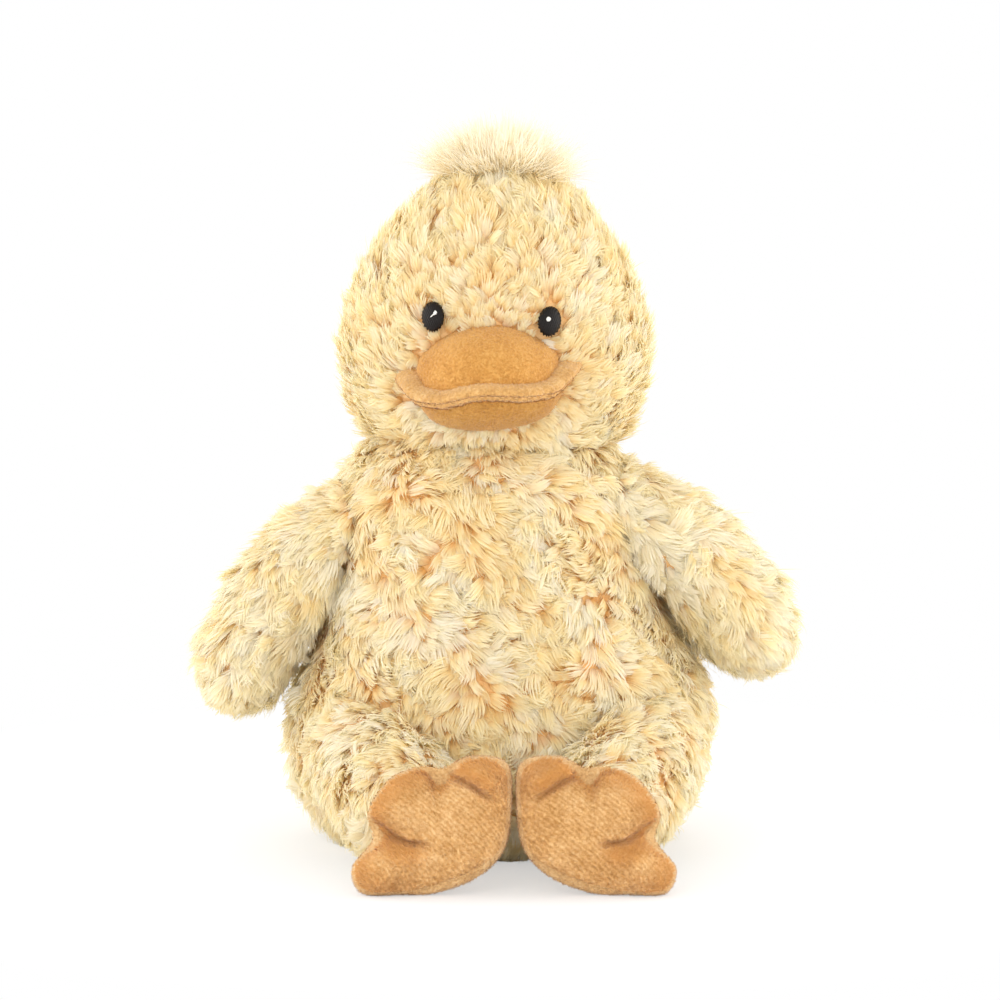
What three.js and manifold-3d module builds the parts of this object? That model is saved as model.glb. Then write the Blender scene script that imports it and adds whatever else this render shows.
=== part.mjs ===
// A seated plush duckling: shaggy cream body, head, wings and legs, a short-pile tan bill and feet,
// embroidered eyes and a tuft of long hair on the crown. It sits on a flat, pellet-weighted seat.
// Millimetres, +Z up, the face looks along -Y. Left and right are the duck's own: its left is +X.
// The origin is the middle of the seat's flat underside, on the surface that the toy sits on.
import * as THREE from 'three';
import { mergeVertices } from 'three/addons/utils/BufferGeometryUtils.js';
import Module from 'manifold-3d';

const wasm = await Module();
wasm.setup();

// Cloth, clearances and cutting
const PLUSH = 5; // shaggy cloth with its pile
const VELOUR = 1.8; // short-pile cloth of the bill and feet
const SEAM_GAP = 0.3; // between sewn pieces that lie against each other
const JOINT_GAP = 0.6; // between pieces that move on each other
const OVERRUN = 30; // how far a cutting block runs past what it cuts

// Body: a pear whose top is part of a ball, on which the head sits
const BODY_HALF_WIDTH = 76;
const BODY_HALF_DEPTH = 66;
const BELLY_HEIGHT = 46; // of the widest place
const SEAT_HALF_WIDTH = 54;
const SLUMP_DEG = 3.6; // the toy leans a little to its right
const NECK_RADIUS = 59; // of the ball
const NECK_HEIGHT = 105; // of the ball's centre
const SHOULDER_POLAR_DEG = 62; // where the ball ends and the pear begins
const FLANK_WIDTH_SHARE = 0.93; // of the half width, where the belly rolls under
const FLANK_HEIGHT_SHARE = 0.35; // of the belly's height
const WAIST_RISE_SHARE = 0.5; // of the way up from the belly to the shoulder
const WAIST_WIDTH_SHARE = 0.6; // of the way in from the belly to the shoulder

// Seat panel and the pellet bag on it
const SEAT_PANEL_MARGIN = 6; // from the seat's edge to the panel's seam
const POUCH_HALF_WIDTH = 42;
const POUCH_HALF_DEPTH = 36;
const POUCH_HALF_HEIGHT = 13;

// Neck seam: the gathering thread lies in a groove round the ball
const THREAD_RADIUS = 0.8;
const THREAD_POLAR_DEG = 38;

// Head: an egg, wide at the cheeks, opened underneath by the neck's ball
const HEAD_HALF_WIDTH = 55.5;
const HEAD_HALF_DEPTH = 49.5;
const HEAD_HEIGHT = 110; // from the egg's foot to its crown
const CHIN_HEIGHT = 30; // of the egg's foot above the neck's centre
const HEAD_TURN_DEG = -2.5; // the face looks a little to the duck's right
const HEAD_ROLL_DEG = 5.6; // and the crown leans back the other way
// radius as a share of the half width, height as a share of the head's
const HEAD_SHARES = [[0, 0], [0.6, 0.03], [0.86, 0.14], [0.975, 0.28], [1, 0.42], [0.93, 0.58],
  [0.79, 0.73], [0.59, 0.86], [0.33, 0.965], [0, 1]];

// Crest of long pile on the crown
const CREST_HALF_WIDTH = 23;
const CREST_HALF_DEPTH = 13;
const CREST_HEIGHT = 20; // above the crown
const CREST_ROOT = 8; // below the crown
const CREST_SHARES = [[0, 0], [0.7, 0.03], [1, 0.32], [0.94, 0.56], [0.7, 0.8], [0.42, 0.94], [0, 1]];

// Eyes: satin-stitch ovals with a white glint
const EYE_SPACING = 41.5;
const EYE_RISE = 2; // of their middle above the top of the bill
const EYE_HALF_WIDTH = 4;
const EYE_HALF_HEIGHT = 5.1;
const EYE_THICK = 2;
const GLINT_RADIUS = 1.1;
const GLINT_THICK = 0.7;
const GLINT_RISE_SHARE = 0.3; // of the eye's half height

// Bill: a stuffed upper dome, a rolled lip and a lower pouch
const BILL_HEIGHT = 66; // of the lip above the neck's centre
const BILL_ROLL_DEG = -6; // the bill's left corner is sewn a little high
const BILL_ROOT = 38; // distance of the bill's middle in front of the head's axis
const UPPER_HALF_WIDTH = 25.5;
const UPPER_REACH = 28; // in front of the bill's middle
const UPPER_HEIGHT = 22;
const LOWER_HALF_WIDTH = 26.5;
const LOWER_REACH = 26;
const LOWER_HEIGHT = 14.5;
const LIP_HALF_WIDTH = 33;
const LIP_REACH = 33;
const LIP_THICK = 7.2;
const LIP_WIDE = 8;
const LIP_WAVE = 1.1; // the lip is high in the middle and dips each side of it
const LIP_CORNER_LIFT = 4;
const LIP_WAVES = 4; // in a full turn

// Wings: bowed paddles, hinged at their top edge on the shoulder
const WING_LENGTH = 108;
const WING_HALF_THICK = 19.5;
const WING_HALF_DEPTH = 24;
const WING_ROOT = 14; // how far the wing's form starts inside the hinge
const WING_FORWARD = 4; // the wing's middle lies this far towards the front
const WING_HANG_DEG = { left: 64, right: 62 }; // of the wing's root, out from straight down
const WING_BOW_DEG = 50; // the wing turns down by this from root to tip
const WING_HINGE_POLAR_DEG = 54.5; // the hinge's place on the neck's ball
const WING_LIFT_DEG = 70;
const WING_SHARES = [[0, 0], [0.62, 0.02], [0.86, 0.14], [0.98, 0.34], [1, 0.58], [0.93, 0.78],
  [0.74, 0.9], [0.45, 0.97], [0, 1]];

// Legs: short thick thighs that point forwards and in, hinged at the fold on top
const LEG_LENGTH = 47; // from the fold to the ankle
const LEG_ROOT = 24; // how far the leg's form starts behind the fold
const LEG_HALF_WIDTH = 22;
const LEG_HALF_HEIGHT = 25;
const LEG_TOE_IN_DEG = 17;
const LEG_SLOPE_DEG = 15; // the leg runs down from the hip to the ankle
const LEG_SPREAD_SHARE = 0.58; // of the body's half width, where the fold is
const LEG_LIFT_DEG = 30;
const FEET_OFFSET = 2.7; // both feet lie a little to the duck's left
const LEG_SHARES = [[0, 0], [0.7, 0.01], [0.93, 0.12], [1, 0.4], [0.97, 0.7], [0.86, 0.9], [0.7, 1], [0, 1]];

// Feet: three-toed pillows that stand on edge with their soles to the front
const ANKLE_RADIUS = 17; // of the ball at the leg's end
const ANKLE_HEIGHT = 22;
const FOOT_REACH = 34.5; // from its middle to the longest toe
const FOOT_FORWARD = 19; // of the sole's seam in front of the ankle
const SOLE_BULGE = 8;
const INSTEP_BULGE = 12;
const FOOT_TURN_DEG = 40; // of the middle toe, outwards from straight up
const FOOT_TILT_DEG = 8; // the sole leans back
const FOOT_FLOP_DEG = { back: 8, forward: 15 };
const CREASE_DEPTH_SHARE = 0.45; // of the bulge
const CREASE_WIDTH_DEG = 13;
const TOE_GAPS_DEG = [-48, 59]; // from the middle toe, outwards
const WEB_SHARE = 0.64; // of the reach, how far the instep fills the gaps
// angle from the middle toe in degrees, outwards, and reach as a share of the longest
const FOOT_SHARES = [[-179, 0.58], [-148, 0.72], [-118, 0.79], [-88, 1], [-66, 0.84], [-48, 0.48],
  [-28, 0.66], [0, 0.69], [34, 0.7], [59, 0.55], [75, 0.93], [91, 0.98], [112, 0.74], [140, 0.58]];

// Tail
const TAIL_LENGTH = 36; // outside the body
const TAIL_ROOT = 20; // how far its form starts inside the body
const TAIL_HALF_WIDTH = 20;
const TAIL_HALF_THICK = 13;
const TAIL_RISE_DEG = 35;
const TAIL_SHARES = [[0, 0], [0.8, 0.02], [1, 0.35], [0.86, 0.65], [0.5, 0.9], [0, 1]];

// Faces round each form and along it, and the share of them that a shown or a hidden form has
const FACES_ROUND = {
  body: 36, head: 32, wing: 18, leg: 20, foot: 36, bill: 24, lip: 36, small: 14, thread: 24,
};
const FACES_ALONG = { ball: 7, pear: 7, head: 13, wing: 10, leg: 7, foot: 3, bill: 6, lip: 7, small: 6 };
const SHOWN_SHARE = 1;
const HIDDEN_SHARE = 0.5;
const SWEEP_STEPS = 6; // places of a joint at which a moving piece is cleared

const radians = THREE.MathUtils.degToRad;
const degrees = THREE.MathUtils.radToDeg;
const { lerp, smoothstep } = THREE.MathUtils;

// Colours, roughness and sheen of the cloths and threads
function cloth(name, color, roughness) {
  return new THREE.MeshStandardMaterial({ name, color, roughness, metalness: 0 });
}


const CREAM_PLUSH = cloth('cream_plush', 0xf0d9a2, 1);
const TAN_VELOUR = cloth('tan_velour', 0xdea565, 0.95);
const CREST_PILE = cloth('crest_pile', 0xf8e9c0, 1);
const BLACK_THREAD = cloth('black_thread', 0x17120f, 0.5);
const WHITE_THREAD = cloth('white_thread', 0xf4f1ec, 0.6);
const FIBRE_FILL = cloth('fibre_fill', 0xf7f6f2, 1);
const PELLET_BAG = cloth('pellet_bag', 0xe6e3da, 0.8);
const SEAM_THREAD = cloth('seam_thread', 0xe9d5a4, 0.8);

// Joins the seams and poles of a new geometry, before anything moves its corners
function welded(geometry) {
  const bare = new THREE.BufferGeometry();
  bare.setAttribute('position', geometry.getAttribute('position'));
  bare.setIndex(geometry.index);
  return mergeVertices(bare);
}

// From a welded geometry to a solid that can be cut, and back
function solid(geometry) {
  const corners = [];
  const index = geometry.index.array;
  for (let i = 0; i < index.length; i += 3) {
    const [a, b, c] = [index[i], index[i + 1], index[i + 2]];
    if (a !== b && b !== c && c !== a) corners.push(a, b, c);
  }
  const vertProperties = geometry.getAttribute('position').array;
  return new wasm.Manifold(new wasm.Mesh({ numProp: 3, vertProperties, triVerts: new Uint32Array(corners) }));
}

function geometryOf(body) {
  const mesh = body.getMesh();
  const geometry = new THREE.BufferGeometry();
  geometry.setAttribute('position', new THREE.BufferAttribute(mesh.vertProperties, mesh.numProp));
  geometry.setIndex(new THREE.BufferAttribute(mesh.triVerts, 1));
  const flat = geometry.toNonIndexed();
  flat.computeVertexNormals();
  return flat;
}

// Moves every corner of a geometry, as a bend, a squash or a taper does
function reshape(geometry, move) {
  const places = geometry.getAttribute('position');
  const p = new THREE.Vector3();
  for (let i = 0; i < places.count; i += 1) {
    move(p.fromBufferAttribute(places, i));
    places.setXYZ(i, p.x, p.y, p.z);
  }
  return geometry;
}

const scaled = (shares, radius, length) => shares.map(([r, z]) => [r * radius, z * length]);
const vectors = (pairs) => pairs.map(([x, y]) => new THREE.Vector2(x, y));
const faces = (count, detail) => Math.round(count * detail);

// A line through [radius, height] pairs that starts and ends on the axis, set out by `grow`
function profile(pairs, count, grow) {
  const line = new THREE.SplineCurve(vectors(pairs));
  return Array.from({ length: count + 1 }, (_, i) => {
    const p = line.getPointAt(i / count);
    const along = line.getTangentAt(i / count);
    if (i === 0) return new THREE.Vector2(0, p.y - grow);
    if (i === count) return new THREE.Vector2(0, p.y + grow);
    return new THREE.Vector2(Math.max(p.x + grow * along.y, 0), p.y - grow * along.x);
  });
}

// Turns a profile round +Z
function turned(points, around) {
  return welded(new THREE.LatheGeometry(points, around)).rotateX(Math.PI / 2);
}

// A closed ball round the origin, its poles on the Z axis
function ball(radius, around) {
  return welded(new THREE.SphereGeometry(radius, around, around / 2)).rotateX(Math.PI / 2);
}

// An upright oval post, its middle at the origin
function post(halfWidth, halfDepth, height, around) {
  return welded(new THREE.CylinderGeometry(halfWidth, halfWidth, height, around)).rotateX(Math.PI / 2)
    .scale(1, halfDepth / halfWidth, 1);
}

// Everything on one side of a plane square to an axis, as a block
const BLOCK_REACH = NECK_HEIGHT + NECK_RADIUS + BODY_HALF_WIDTH + OVERRUN;
const AXIS = { x: new THREE.Vector3(1, 0, 0), y: new THREE.Vector3(0, 1, 0), z: new THREE.Vector3(0, 0, 1) };

function beyond(axis, sign, distance) {
  const middle = AXIS[axis].clone().multiplyScalar(sign * BLOCK_REACH + distance);
  const side = 2 * BLOCK_REACH;
  return solid(welded(new THREE.BoxGeometry(side, side, side)).translate(middle.x, middle.y, middle.z));
}

const SIDES = { left: 1, right: -1 };
const half = (axis, sign) => beyond(axis, sign, sign * SEAM_GAP / 2);
const mirrored = (sign, body) => (sign > 0 ? body : body.mirror([1, 0, 0]));

// The body slumps sideways as one, and the legs rest on the ground beside it
const duck = new THREE.Group();
const torso = new THREE.Group();
torso.rotation.y = radians(-SLUMP_DEG);
duck.add(torso);

function place(name, body, material, parent) {
  const mesh = new THREE.Mesh(geometryOf(body), material);
  mesh.name = name;
  parent.add(mesh);
}

// A solid of one group, as another group sees it
function seenFrom(to, from, body) {
  duck.updateMatrixWorld(true);
  return body.transform(to.matrixWorld.clone().invert().multiply(from.matrixWorld).elements);
}

// All the room that a solid takes when it turns round an axis from one angle to another
function swept(body, axis, from, to) {
  const stops = Array.from({ length: SWEEP_STEPS + 1 }, (_, i) => {
    const turn = new THREE.Matrix4().makeRotationAxis(axis, lerp(from, to, i / SWEEP_STEPS));
    return body.transform(turn.elements);
  });
  return wasm.Manifold.union(stops);
}

// Body
const SHOULDER_POLAR = radians(SHOULDER_POLAR_DEG);
const SHOULDER_RADIUS = NECK_RADIUS * Math.sin(SHOULDER_POLAR);
const SHOULDER_HEIGHT = NECK_HEIGHT + NECK_RADIUS * Math.cos(SHOULDER_POLAR);
const BODY_DEPTH_SHARE = BODY_HALF_DEPTH / BODY_HALF_WIDTH;
const SEAT_DROP = BODY_HALF_WIDTH * Math.tan(radians(SLUMP_DEG)); // so that the slumped seat is flat
const FLANK_LINE = new THREE.SplineCurve(vectors([
  [SEAT_HALF_WIDTH, -SEAT_DROP],
  [FLANK_WIDTH_SHARE * BODY_HALF_WIDTH, FLANK_HEIGHT_SHARE * BELLY_HEIGHT],
  [BODY_HALF_WIDTH, BELLY_HEIGHT],
  [
    lerp(BODY_HALF_WIDTH, SHOULDER_RADIUS, WAIST_WIDTH_SHARE),
    lerp(BELLY_HEIGHT, SHOULDER_HEIGHT, WAIST_RISE_SHARE),
  ],
  [SHOULDER_RADIUS, SHOULDER_HEIGHT],
]));

// The pear, set out by `grow`: part of the neck's ball above the shoulder, an oval below, a flat seat
function bodyForm(grow, detail) {
  const below = faces(FACES_ALONG.pear, detail);
  const above = faces(FACES_ALONG.ball, detail);
  const radius = NECK_RADIUS + grow;
  const floor = -SEAT_DROP - PLUSH;
  const points = [new THREE.Vector2(0, floor), new THREE.Vector2(SEAT_HALF_WIDTH + grow, floor)];
  for (let i = 0; i < below; i += 1) {
    const p = FLANK_LINE.getPointAt(i / below);
    const along = FLANK_LINE.getTangentAt(i / below);
    points.push(new THREE.Vector2(p.x + grow * along.y, p.y - grow * along.x));
  }
  for (let i = 0; i < above; i += 1) {
    const polar = SHOULDER_POLAR * (1 - i / above);
    points.push(new THREE.Vector2(radius * Math.sin(polar), NECK_HEIGHT + radius * Math.cos(polar)));
  }
  points.push(new THREE.Vector2(0, NECK_HEIGHT + radius));
  const pear = solid(reshape(turned(points, faces(FACES_ROUND.body, detail)), (p) => {
    p.y *= lerp(BODY_DEPTH_SHARE, 1, smoothstep(p.z, BELLY_HEIGHT, SHOULDER_HEIGHT));
  }));
  return pear.intersect(seenFrom(torso, duck, beyond('z', 1, -grow)));
}

function neckThread(radius) {
  const polar = radians(THREAD_POLAR_DEG);
  const middle = NECK_RADIUS - THREAD_RADIUS - JOINT_GAP;
  const height = NECK_HEIGHT + middle * Math.cos(polar);
  const section = new THREE.Path().absarc(middle * Math.sin(polar), height, radius, 0, 2 * Math.PI);
  return solid(turned(section.getPoints(FACES_ALONG.small), FACES_ROUND.thread));
}

// Four shaggy panels that meet at the front, back and side seams, and a flat seat panel
const cover = bodyForm(0, SHOWN_SHARE).subtract(bodyForm(-PLUSH, HIDDEN_SHARE))
  .subtract(neckThread(THREAD_RADIUS + SEAM_GAP));

function seatDisc(margin) {
  const halfWidth = SEAT_HALF_WIDTH - margin;
  return solid(post(halfWidth, BODY_DEPTH_SHARE * halfWidth, BELLY_HEIGHT, FACES_ROUND.body));
}

const sideCover = cover.subtract(seatDisc(SEAT_PANEL_MARGIN));
const bodyPanel = (x, y) => sideCover.intersect(half('x', x)).intersect(half('y', y));
place('body_front_left_panel', bodyPanel(1, -1), CREAM_PLUSH, torso);
place('body_front_right_panel', bodyPanel(-1, -1), CREAM_PLUSH, torso);
place('body_back_left_panel', bodyPanel(1, 1), CREAM_PLUSH, torso);
place('body_back_right_panel', bodyPanel(-1, 1), CREAM_PLUSH, torso);
place('seat_panel', cover.intersect(seatDisc(SEAT_PANEL_MARGIN + SEAM_GAP)), CREAM_PLUSH, torso);

// The pellet bag lies on the seat panel, and the stuffing fills the body above and round it
const POUCH_HEIGHT = PLUSH + POUCH_HALF_HEIGHT;

function pouch(grow) {
  const halfWidth = POUCH_HALF_WIDTH + grow;
  return solid(ball(halfWidth, FACES_ROUND.small)
    .scale(1, (POUCH_HALF_DEPTH + grow) / halfWidth, (POUCH_HALF_HEIGHT + grow) / halfWidth)
    .translate(0, 0, POUCH_HEIGHT));
}

const bodyInside = bodyForm(-PLUSH - SEAM_GAP, HIDDEN_SHARE);
const pouchWell = solid(
  post(POUCH_HALF_WIDTH + SEAM_GAP, POUCH_HALF_DEPTH + SEAM_GAP, 2 * POUCH_HEIGHT, FACES_ROUND.small),
).add(pouch(SEAM_GAP));
place('body_stuffing', bodyInside.subtract(pouchWell), FIBRE_FILL, torso);
place('pellet_bag', pouch(0).intersect(bodyInside), PELLET_BAG, torso);

place('neck_seam_thread', neckThread(THREAD_RADIUS), SEAM_THREAD, torso);

// Head: two panels that meet at the middle seam, with their filling
const head = new THREE.Group();
head.position.z = NECK_HEIGHT;
head.rotation.set(0, radians(HEAD_ROLL_DEG), radians(HEAD_TURN_DEG));
torso.add(head);

function egg(grow, detail) {
  const shape = scaled(HEAD_SHARES, HEAD_HALF_WIDTH, HEAD_HEIGHT);
  const points = profile(shape, faces(FACES_ALONG.head, detail), grow);
  return solid(turned(points, faces(FACES_ROUND.head, detail)).scale(1, HEAD_HALF_DEPTH / HEAD_HALF_WIDTH, 1)
    .translate(0, 0, CHIN_HEIGHT));
}

const neckSocket = solid(ball(NECK_RADIUS + JOINT_GAP, FACES_ROUND.body));
const headCover = egg(0, SHOWN_SHARE).subtract(egg(-PLUSH, HIDDEN_SHARE)).subtract(neckSocket);
place('head_left_panel', headCover.intersect(half('x', 1)), CREAM_PLUSH, head);
place('head_right_panel', headCover.intersect(half('x', -1)), CREAM_PLUSH, head);
place('head_stuffing', egg(-PLUSH - SEAM_GAP, HIDDEN_SHARE).subtract(neckSocket), FIBRE_FILL, head);

// What is sewn on the head is cut to its surface
const headSkin = egg(SEAM_GAP, SHOWN_SHARE);
const crestShape = scaled(CREST_SHARES, CREST_HALF_WIDTH, CREST_ROOT + CREST_HEIGHT);
const crest = solid(turned(profile(crestShape, FACES_ALONG.small, 0), FACES_ROUND.small)
  .scale(1, CREST_HALF_DEPTH / CREST_HALF_WIDTH, 1)
  .translate(0, 0, CHIN_HEIGHT + HEAD_HEIGHT - CREST_ROOT));
place('crest_tuft', crest.subtract(headSkin), CREST_PILE, head);

// Bill: its pieces follow one waved mouth line
const bill = new THREE.Group();
bill.position.set(0, -BILL_ROOT, BILL_HEIGHT);
bill.rotation.y = radians(BILL_ROLL_DEG);
head.add(bill);
const face = seenFrom(bill, head, headSkin);
const BILL_SEAM = LIP_THICK / 2 + SEAM_GAP; // from the mouth line to the domes

function waved(p) {
  const turn = Math.atan2(p.x / LIP_HALF_WIDTH, -p.y / LIP_REACH);
  const corner = smoothstep(Math.abs(turn), Math.PI / 4, Math.PI / 2);
  p.z += lerp(LIP_WAVE * Math.cos(LIP_WAVES * turn), LIP_CORNER_LIFT, corner);
}

// A half dome that stands up from the mouth line, or hangs down from it
function dome(halfWidth, reach, height, upwards) {
  const rise = new THREE.Path().absellipse(0, 0, halfWidth, height, 0, Math.PI / 2);
  const flank = rise.getPoints(FACES_ALONG.bill).slice(0, -1);
  const points = [new THREE.Vector2(0, 0), ...flank, new THREE.Vector2(0, height)];
  const shape = turned(points, FACES_ROUND.bill).scale(1, reach / halfWidth, 1);
  if (!upwards) shape.rotateY(Math.PI);
  return solid(reshape(shape.translate(0, 0, upwards ? BILL_SEAM : -BILL_SEAM), waved));
}

function upperDome(inset) {
  return dome(UPPER_HALF_WIDTH - inset, UPPER_REACH - inset, UPPER_HEIGHT - BILL_SEAM - inset, true);
}

const lowerDome = dome(LOWER_HALF_WIDTH, LOWER_REACH, LOWER_HEIGHT - BILL_SEAM, false);
const upperShell = upperDome(0).subtract(upperDome(VELOUR));
place('bill_upper_cover', upperShell.subtract(face), TAN_VELOUR, bill);
place('bill_upper_stuffing', upperDome(VELOUR + SEAM_GAP).subtract(face), FIBRE_FILL, bill);
place('bill_lower_pouch', lowerDome.subtract(face), TAN_VELOUR, bill);

const lipMiddle = LIP_HALF_WIDTH - LIP_WIDE / 2;
const lipSection = new THREE.Path().absellipse(lipMiddle, 0, LIP_WIDE / 2, LIP_THICK / 2, 0, 2 * Math.PI);
const lipRing = turned(lipSection.getPoints(FACES_ALONG.lip), FACES_ROUND.lip)
  .scale(1, LIP_REACH / LIP_HALF_WIDTH, 1);
place('bill_lip', solid(reshape(lipRing, waved)).subtract(face), TAN_VELOUR, bill);

// An oval prism that runs forwards from the head's axis
function ovalPrism(halfWidth, halfHeight, x, z) {
  const reach = HEAD_HALF_DEPTH + OVERRUN;
  return solid(post(halfWidth, halfHeight, reach, FACES_ROUND.small).rotateX(Math.PI / 2)
    .translate(x, -reach / 2, z));
}

// Eyes: pads of stitches on the head's surface, kept clear of the bill
const EYE_HEIGHT = BILL_HEIGHT + UPPER_HEIGHT + EYE_RISE;
const billRoom = seenFrom(head, bill, upperDome(-SEAM_GAP));
const eyePad = egg(EYE_THICK, SHOWN_SHARE).subtract(headSkin).subtract(billRoom);
const GLINT_LIFT = EYE_THICK + SEAM_GAP;
const glintPad = egg(GLINT_LIFT + GLINT_THICK, SHOWN_SHARE).subtract(egg(GLINT_LIFT, SHOWN_SHARE));
for (const [side, sign] of Object.entries(SIDES)) {
  const x = sign * EYE_SPACING / 2;
  const oval = ovalPrism(EYE_HALF_WIDTH, EYE_HALF_HEIGHT, x, EYE_HEIGHT);
  const spot = ovalPrism(GLINT_RADIUS, GLINT_RADIUS, x, EYE_HEIGHT + GLINT_RISE_SHARE * EYE_HALF_HEIGHT);
  place(`${side}_eye`, eyePad.intersect(oval), BLACK_THREAD, head);
  place(`${side}_eye_glint`, glintPad.intersect(spot), WHITE_THREAD, head);
}

// Wings: the hinge is the origin of the wing's group, and the wing runs down along -Z and bows inwards
const HINGE_POLAR = radians(WING_HINGE_POLAR_DEG);

function wingForm(grow, detail) {
  const shape = scaled(WING_SHARES, WING_HALF_THICK, WING_ROOT + WING_LENGTH);
  const points = profile(shape, faces(FACES_ALONG.wing, detail), grow);
  const bowRadius = (WING_LENGTH + WING_ROOT) / radians(WING_BOW_DEG);
  const paddle = turned(points, faces(FACES_ROUND.wing, detail))
    .scale(1, WING_HALF_DEPTH / WING_HALF_THICK, 1)
    .rotateX(Math.PI)
    .translate(-WING_HALF_THICK, -WING_FORWARD, WING_ROOT);
  return solid(reshape(paddle, (p) => {
    const turn = -p.z / bowRadius;
    const out = bowRadius + p.x;
    p.set(out * Math.cos(turn) - bowRadius, p.y, -out * Math.sin(turn));
  }));
}

for (const [side, sign] of Object.entries(SIDES)) {
  const wing = new THREE.Group();
  const across = sign * NECK_RADIUS * Math.sin(HINGE_POLAR);
  wing.position.set(across, 0, NECK_HEIGHT + NECK_RADIUS * Math.cos(HINGE_POLAR));
  wing.rotation.y = -sign * radians(WING_HANG_DEG[side]);
  torso.add(wing);
  const lift = sign * radians(WING_LIFT_DEG);
  const flank = swept(seenFrom(wing, torso, bodyForm(JOINT_GAP, SHOWN_SHARE)), AXIS.y, 0, lift);
  const form = (grow, detail) => mirrored(sign, wingForm(grow, detail));
  const outside = form(0, SHOWN_SHARE).subtract(flank);
  place(`${side}_wing_cover`, outside.subtract(form(-PLUSH, HIDDEN_SHARE)), CREAM_PLUSH, wing);
  place(`${side}_wing_stuffing`, form(-PLUSH - SEAM_GAP, HIDDEN_SHARE).subtract(flank), FIBRE_FILL, wing);
}

// Legs: the fold on top of the thigh is the hip's origin, and the leg runs forwards, in and down from it
function thigh(grow, detail) {
  const shape = scaled(LEG_SHARES, LEG_HALF_WIDTH, LEG_ROOT + LEG_LENGTH);
  const points = profile(shape, faces(FACES_ALONG.leg, detail), grow);
  return solid(turned(points, faces(FACES_ROUND.leg, detail))
    .scale(1, LEG_HALF_HEIGHT / LEG_HALF_WIDTH, 1)
    .rotateX(Math.PI / 2)
    .translate(0, LEG_ROOT, -LEG_HALF_HEIGHT));
}

// The foot's outline at a set number of places, with its gaps filled up to a least share
function footOutline(leastShare, grow, count) {
  const points = FOOT_SHARES.map(([angle, share]) => {
    const reach = FOOT_REACH * Math.max(share, leastShare);
    return [reach * Math.sin(radians(angle)), reach * Math.cos(radians(angle))];
  });
  const line = new THREE.SplineCurve(vectors([...points, points[0]]));
  return line.getSpacedPoints(count).slice(0, -1).map((p) => p.setLength(p.length() + grow));
}

// How deep the crease between two toes is at a place on the foot, as a share of the bulge
function creaseShare(p) {
  const turn = degrees(Math.atan2(p.x, p.y));
  const near = TOE_GAPS_DEG.map((gap) => Math.exp(-(((turn - gap) / CREASE_WIDTH_DEG) ** 2)));
  return CREASE_DEPTH_SHARE * Math.max(...near);
}

// Half of a foot's pillow: bulged up from its seam, with a crease in from each gap between the toes
function pillow(bulge, leastShare, grow, detail) {
  const around = faces(FACES_ROUND.foot, detail);
  const rings = faces(FACES_ALONG.foot, detail);
  const outline = footOutline(leastShare, grow, around);
  const places = [0, 0, bulge + grow];
  const corners = [];
  for (let ring = 1; ring <= rings; ring += 1) {
    const polar = (Math.PI / 2) * (ring / rings);
    for (const p of outline) {
      const crease = creaseShare(p) * Math.sin(polar);
      const rise = ring === rings ? 0 : (bulge + grow) * Math.cos(polar) * (1 - crease);
      places.push(p.x * Math.sin(polar), p.y * Math.sin(polar), rise);
    }
  }
  const last = places.length / 3;
  places.push(0, 0, 0);
  for (let i = 0; i < around; i += 1) {
    const next = (i + 1) % around;
    corners.push(0, 1 + next, 1 + i);
    for (let ring = 1; ring < rings; ring += 1) {
      const inner = 1 + (ring - 1) * around;
      const outer = inner + around;
      corners.push(inner + i, inner + next, outer + i, inner + next, outer + next, outer + i);
    }
    corners.push(last, last - around + i, last - around + next);
  }
  const geometry = new THREE.BufferGeometry();
  geometry.setAttribute('position', new THREE.BufferAttribute(new Float32Array(places), 3));
  geometry.setIndex(corners);
  return solid(geometry);
}

// A foot's two halves apart by the seam's gap: the sole up, the instep down
const soleForm = (grow, detail) => pillow(SOLE_BULGE, 0, grow, detail).translate(0, 0, SEAM_GAP / 2);
const instep = (grow, detail) => pillow(INSTEP_BULGE, WEB_SHARE, grow, detail).mirror([0, 0, 1]);
const instepForm = (grow, detail) => instep(grow, detail).translate(0, 0, -SEAM_GAP / 2);
const footFilling = (inset) => pillow(SOLE_BULGE, 0, -inset, HIDDEN_SHARE).add(instep(-inset, HIDDEN_SHARE));

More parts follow.
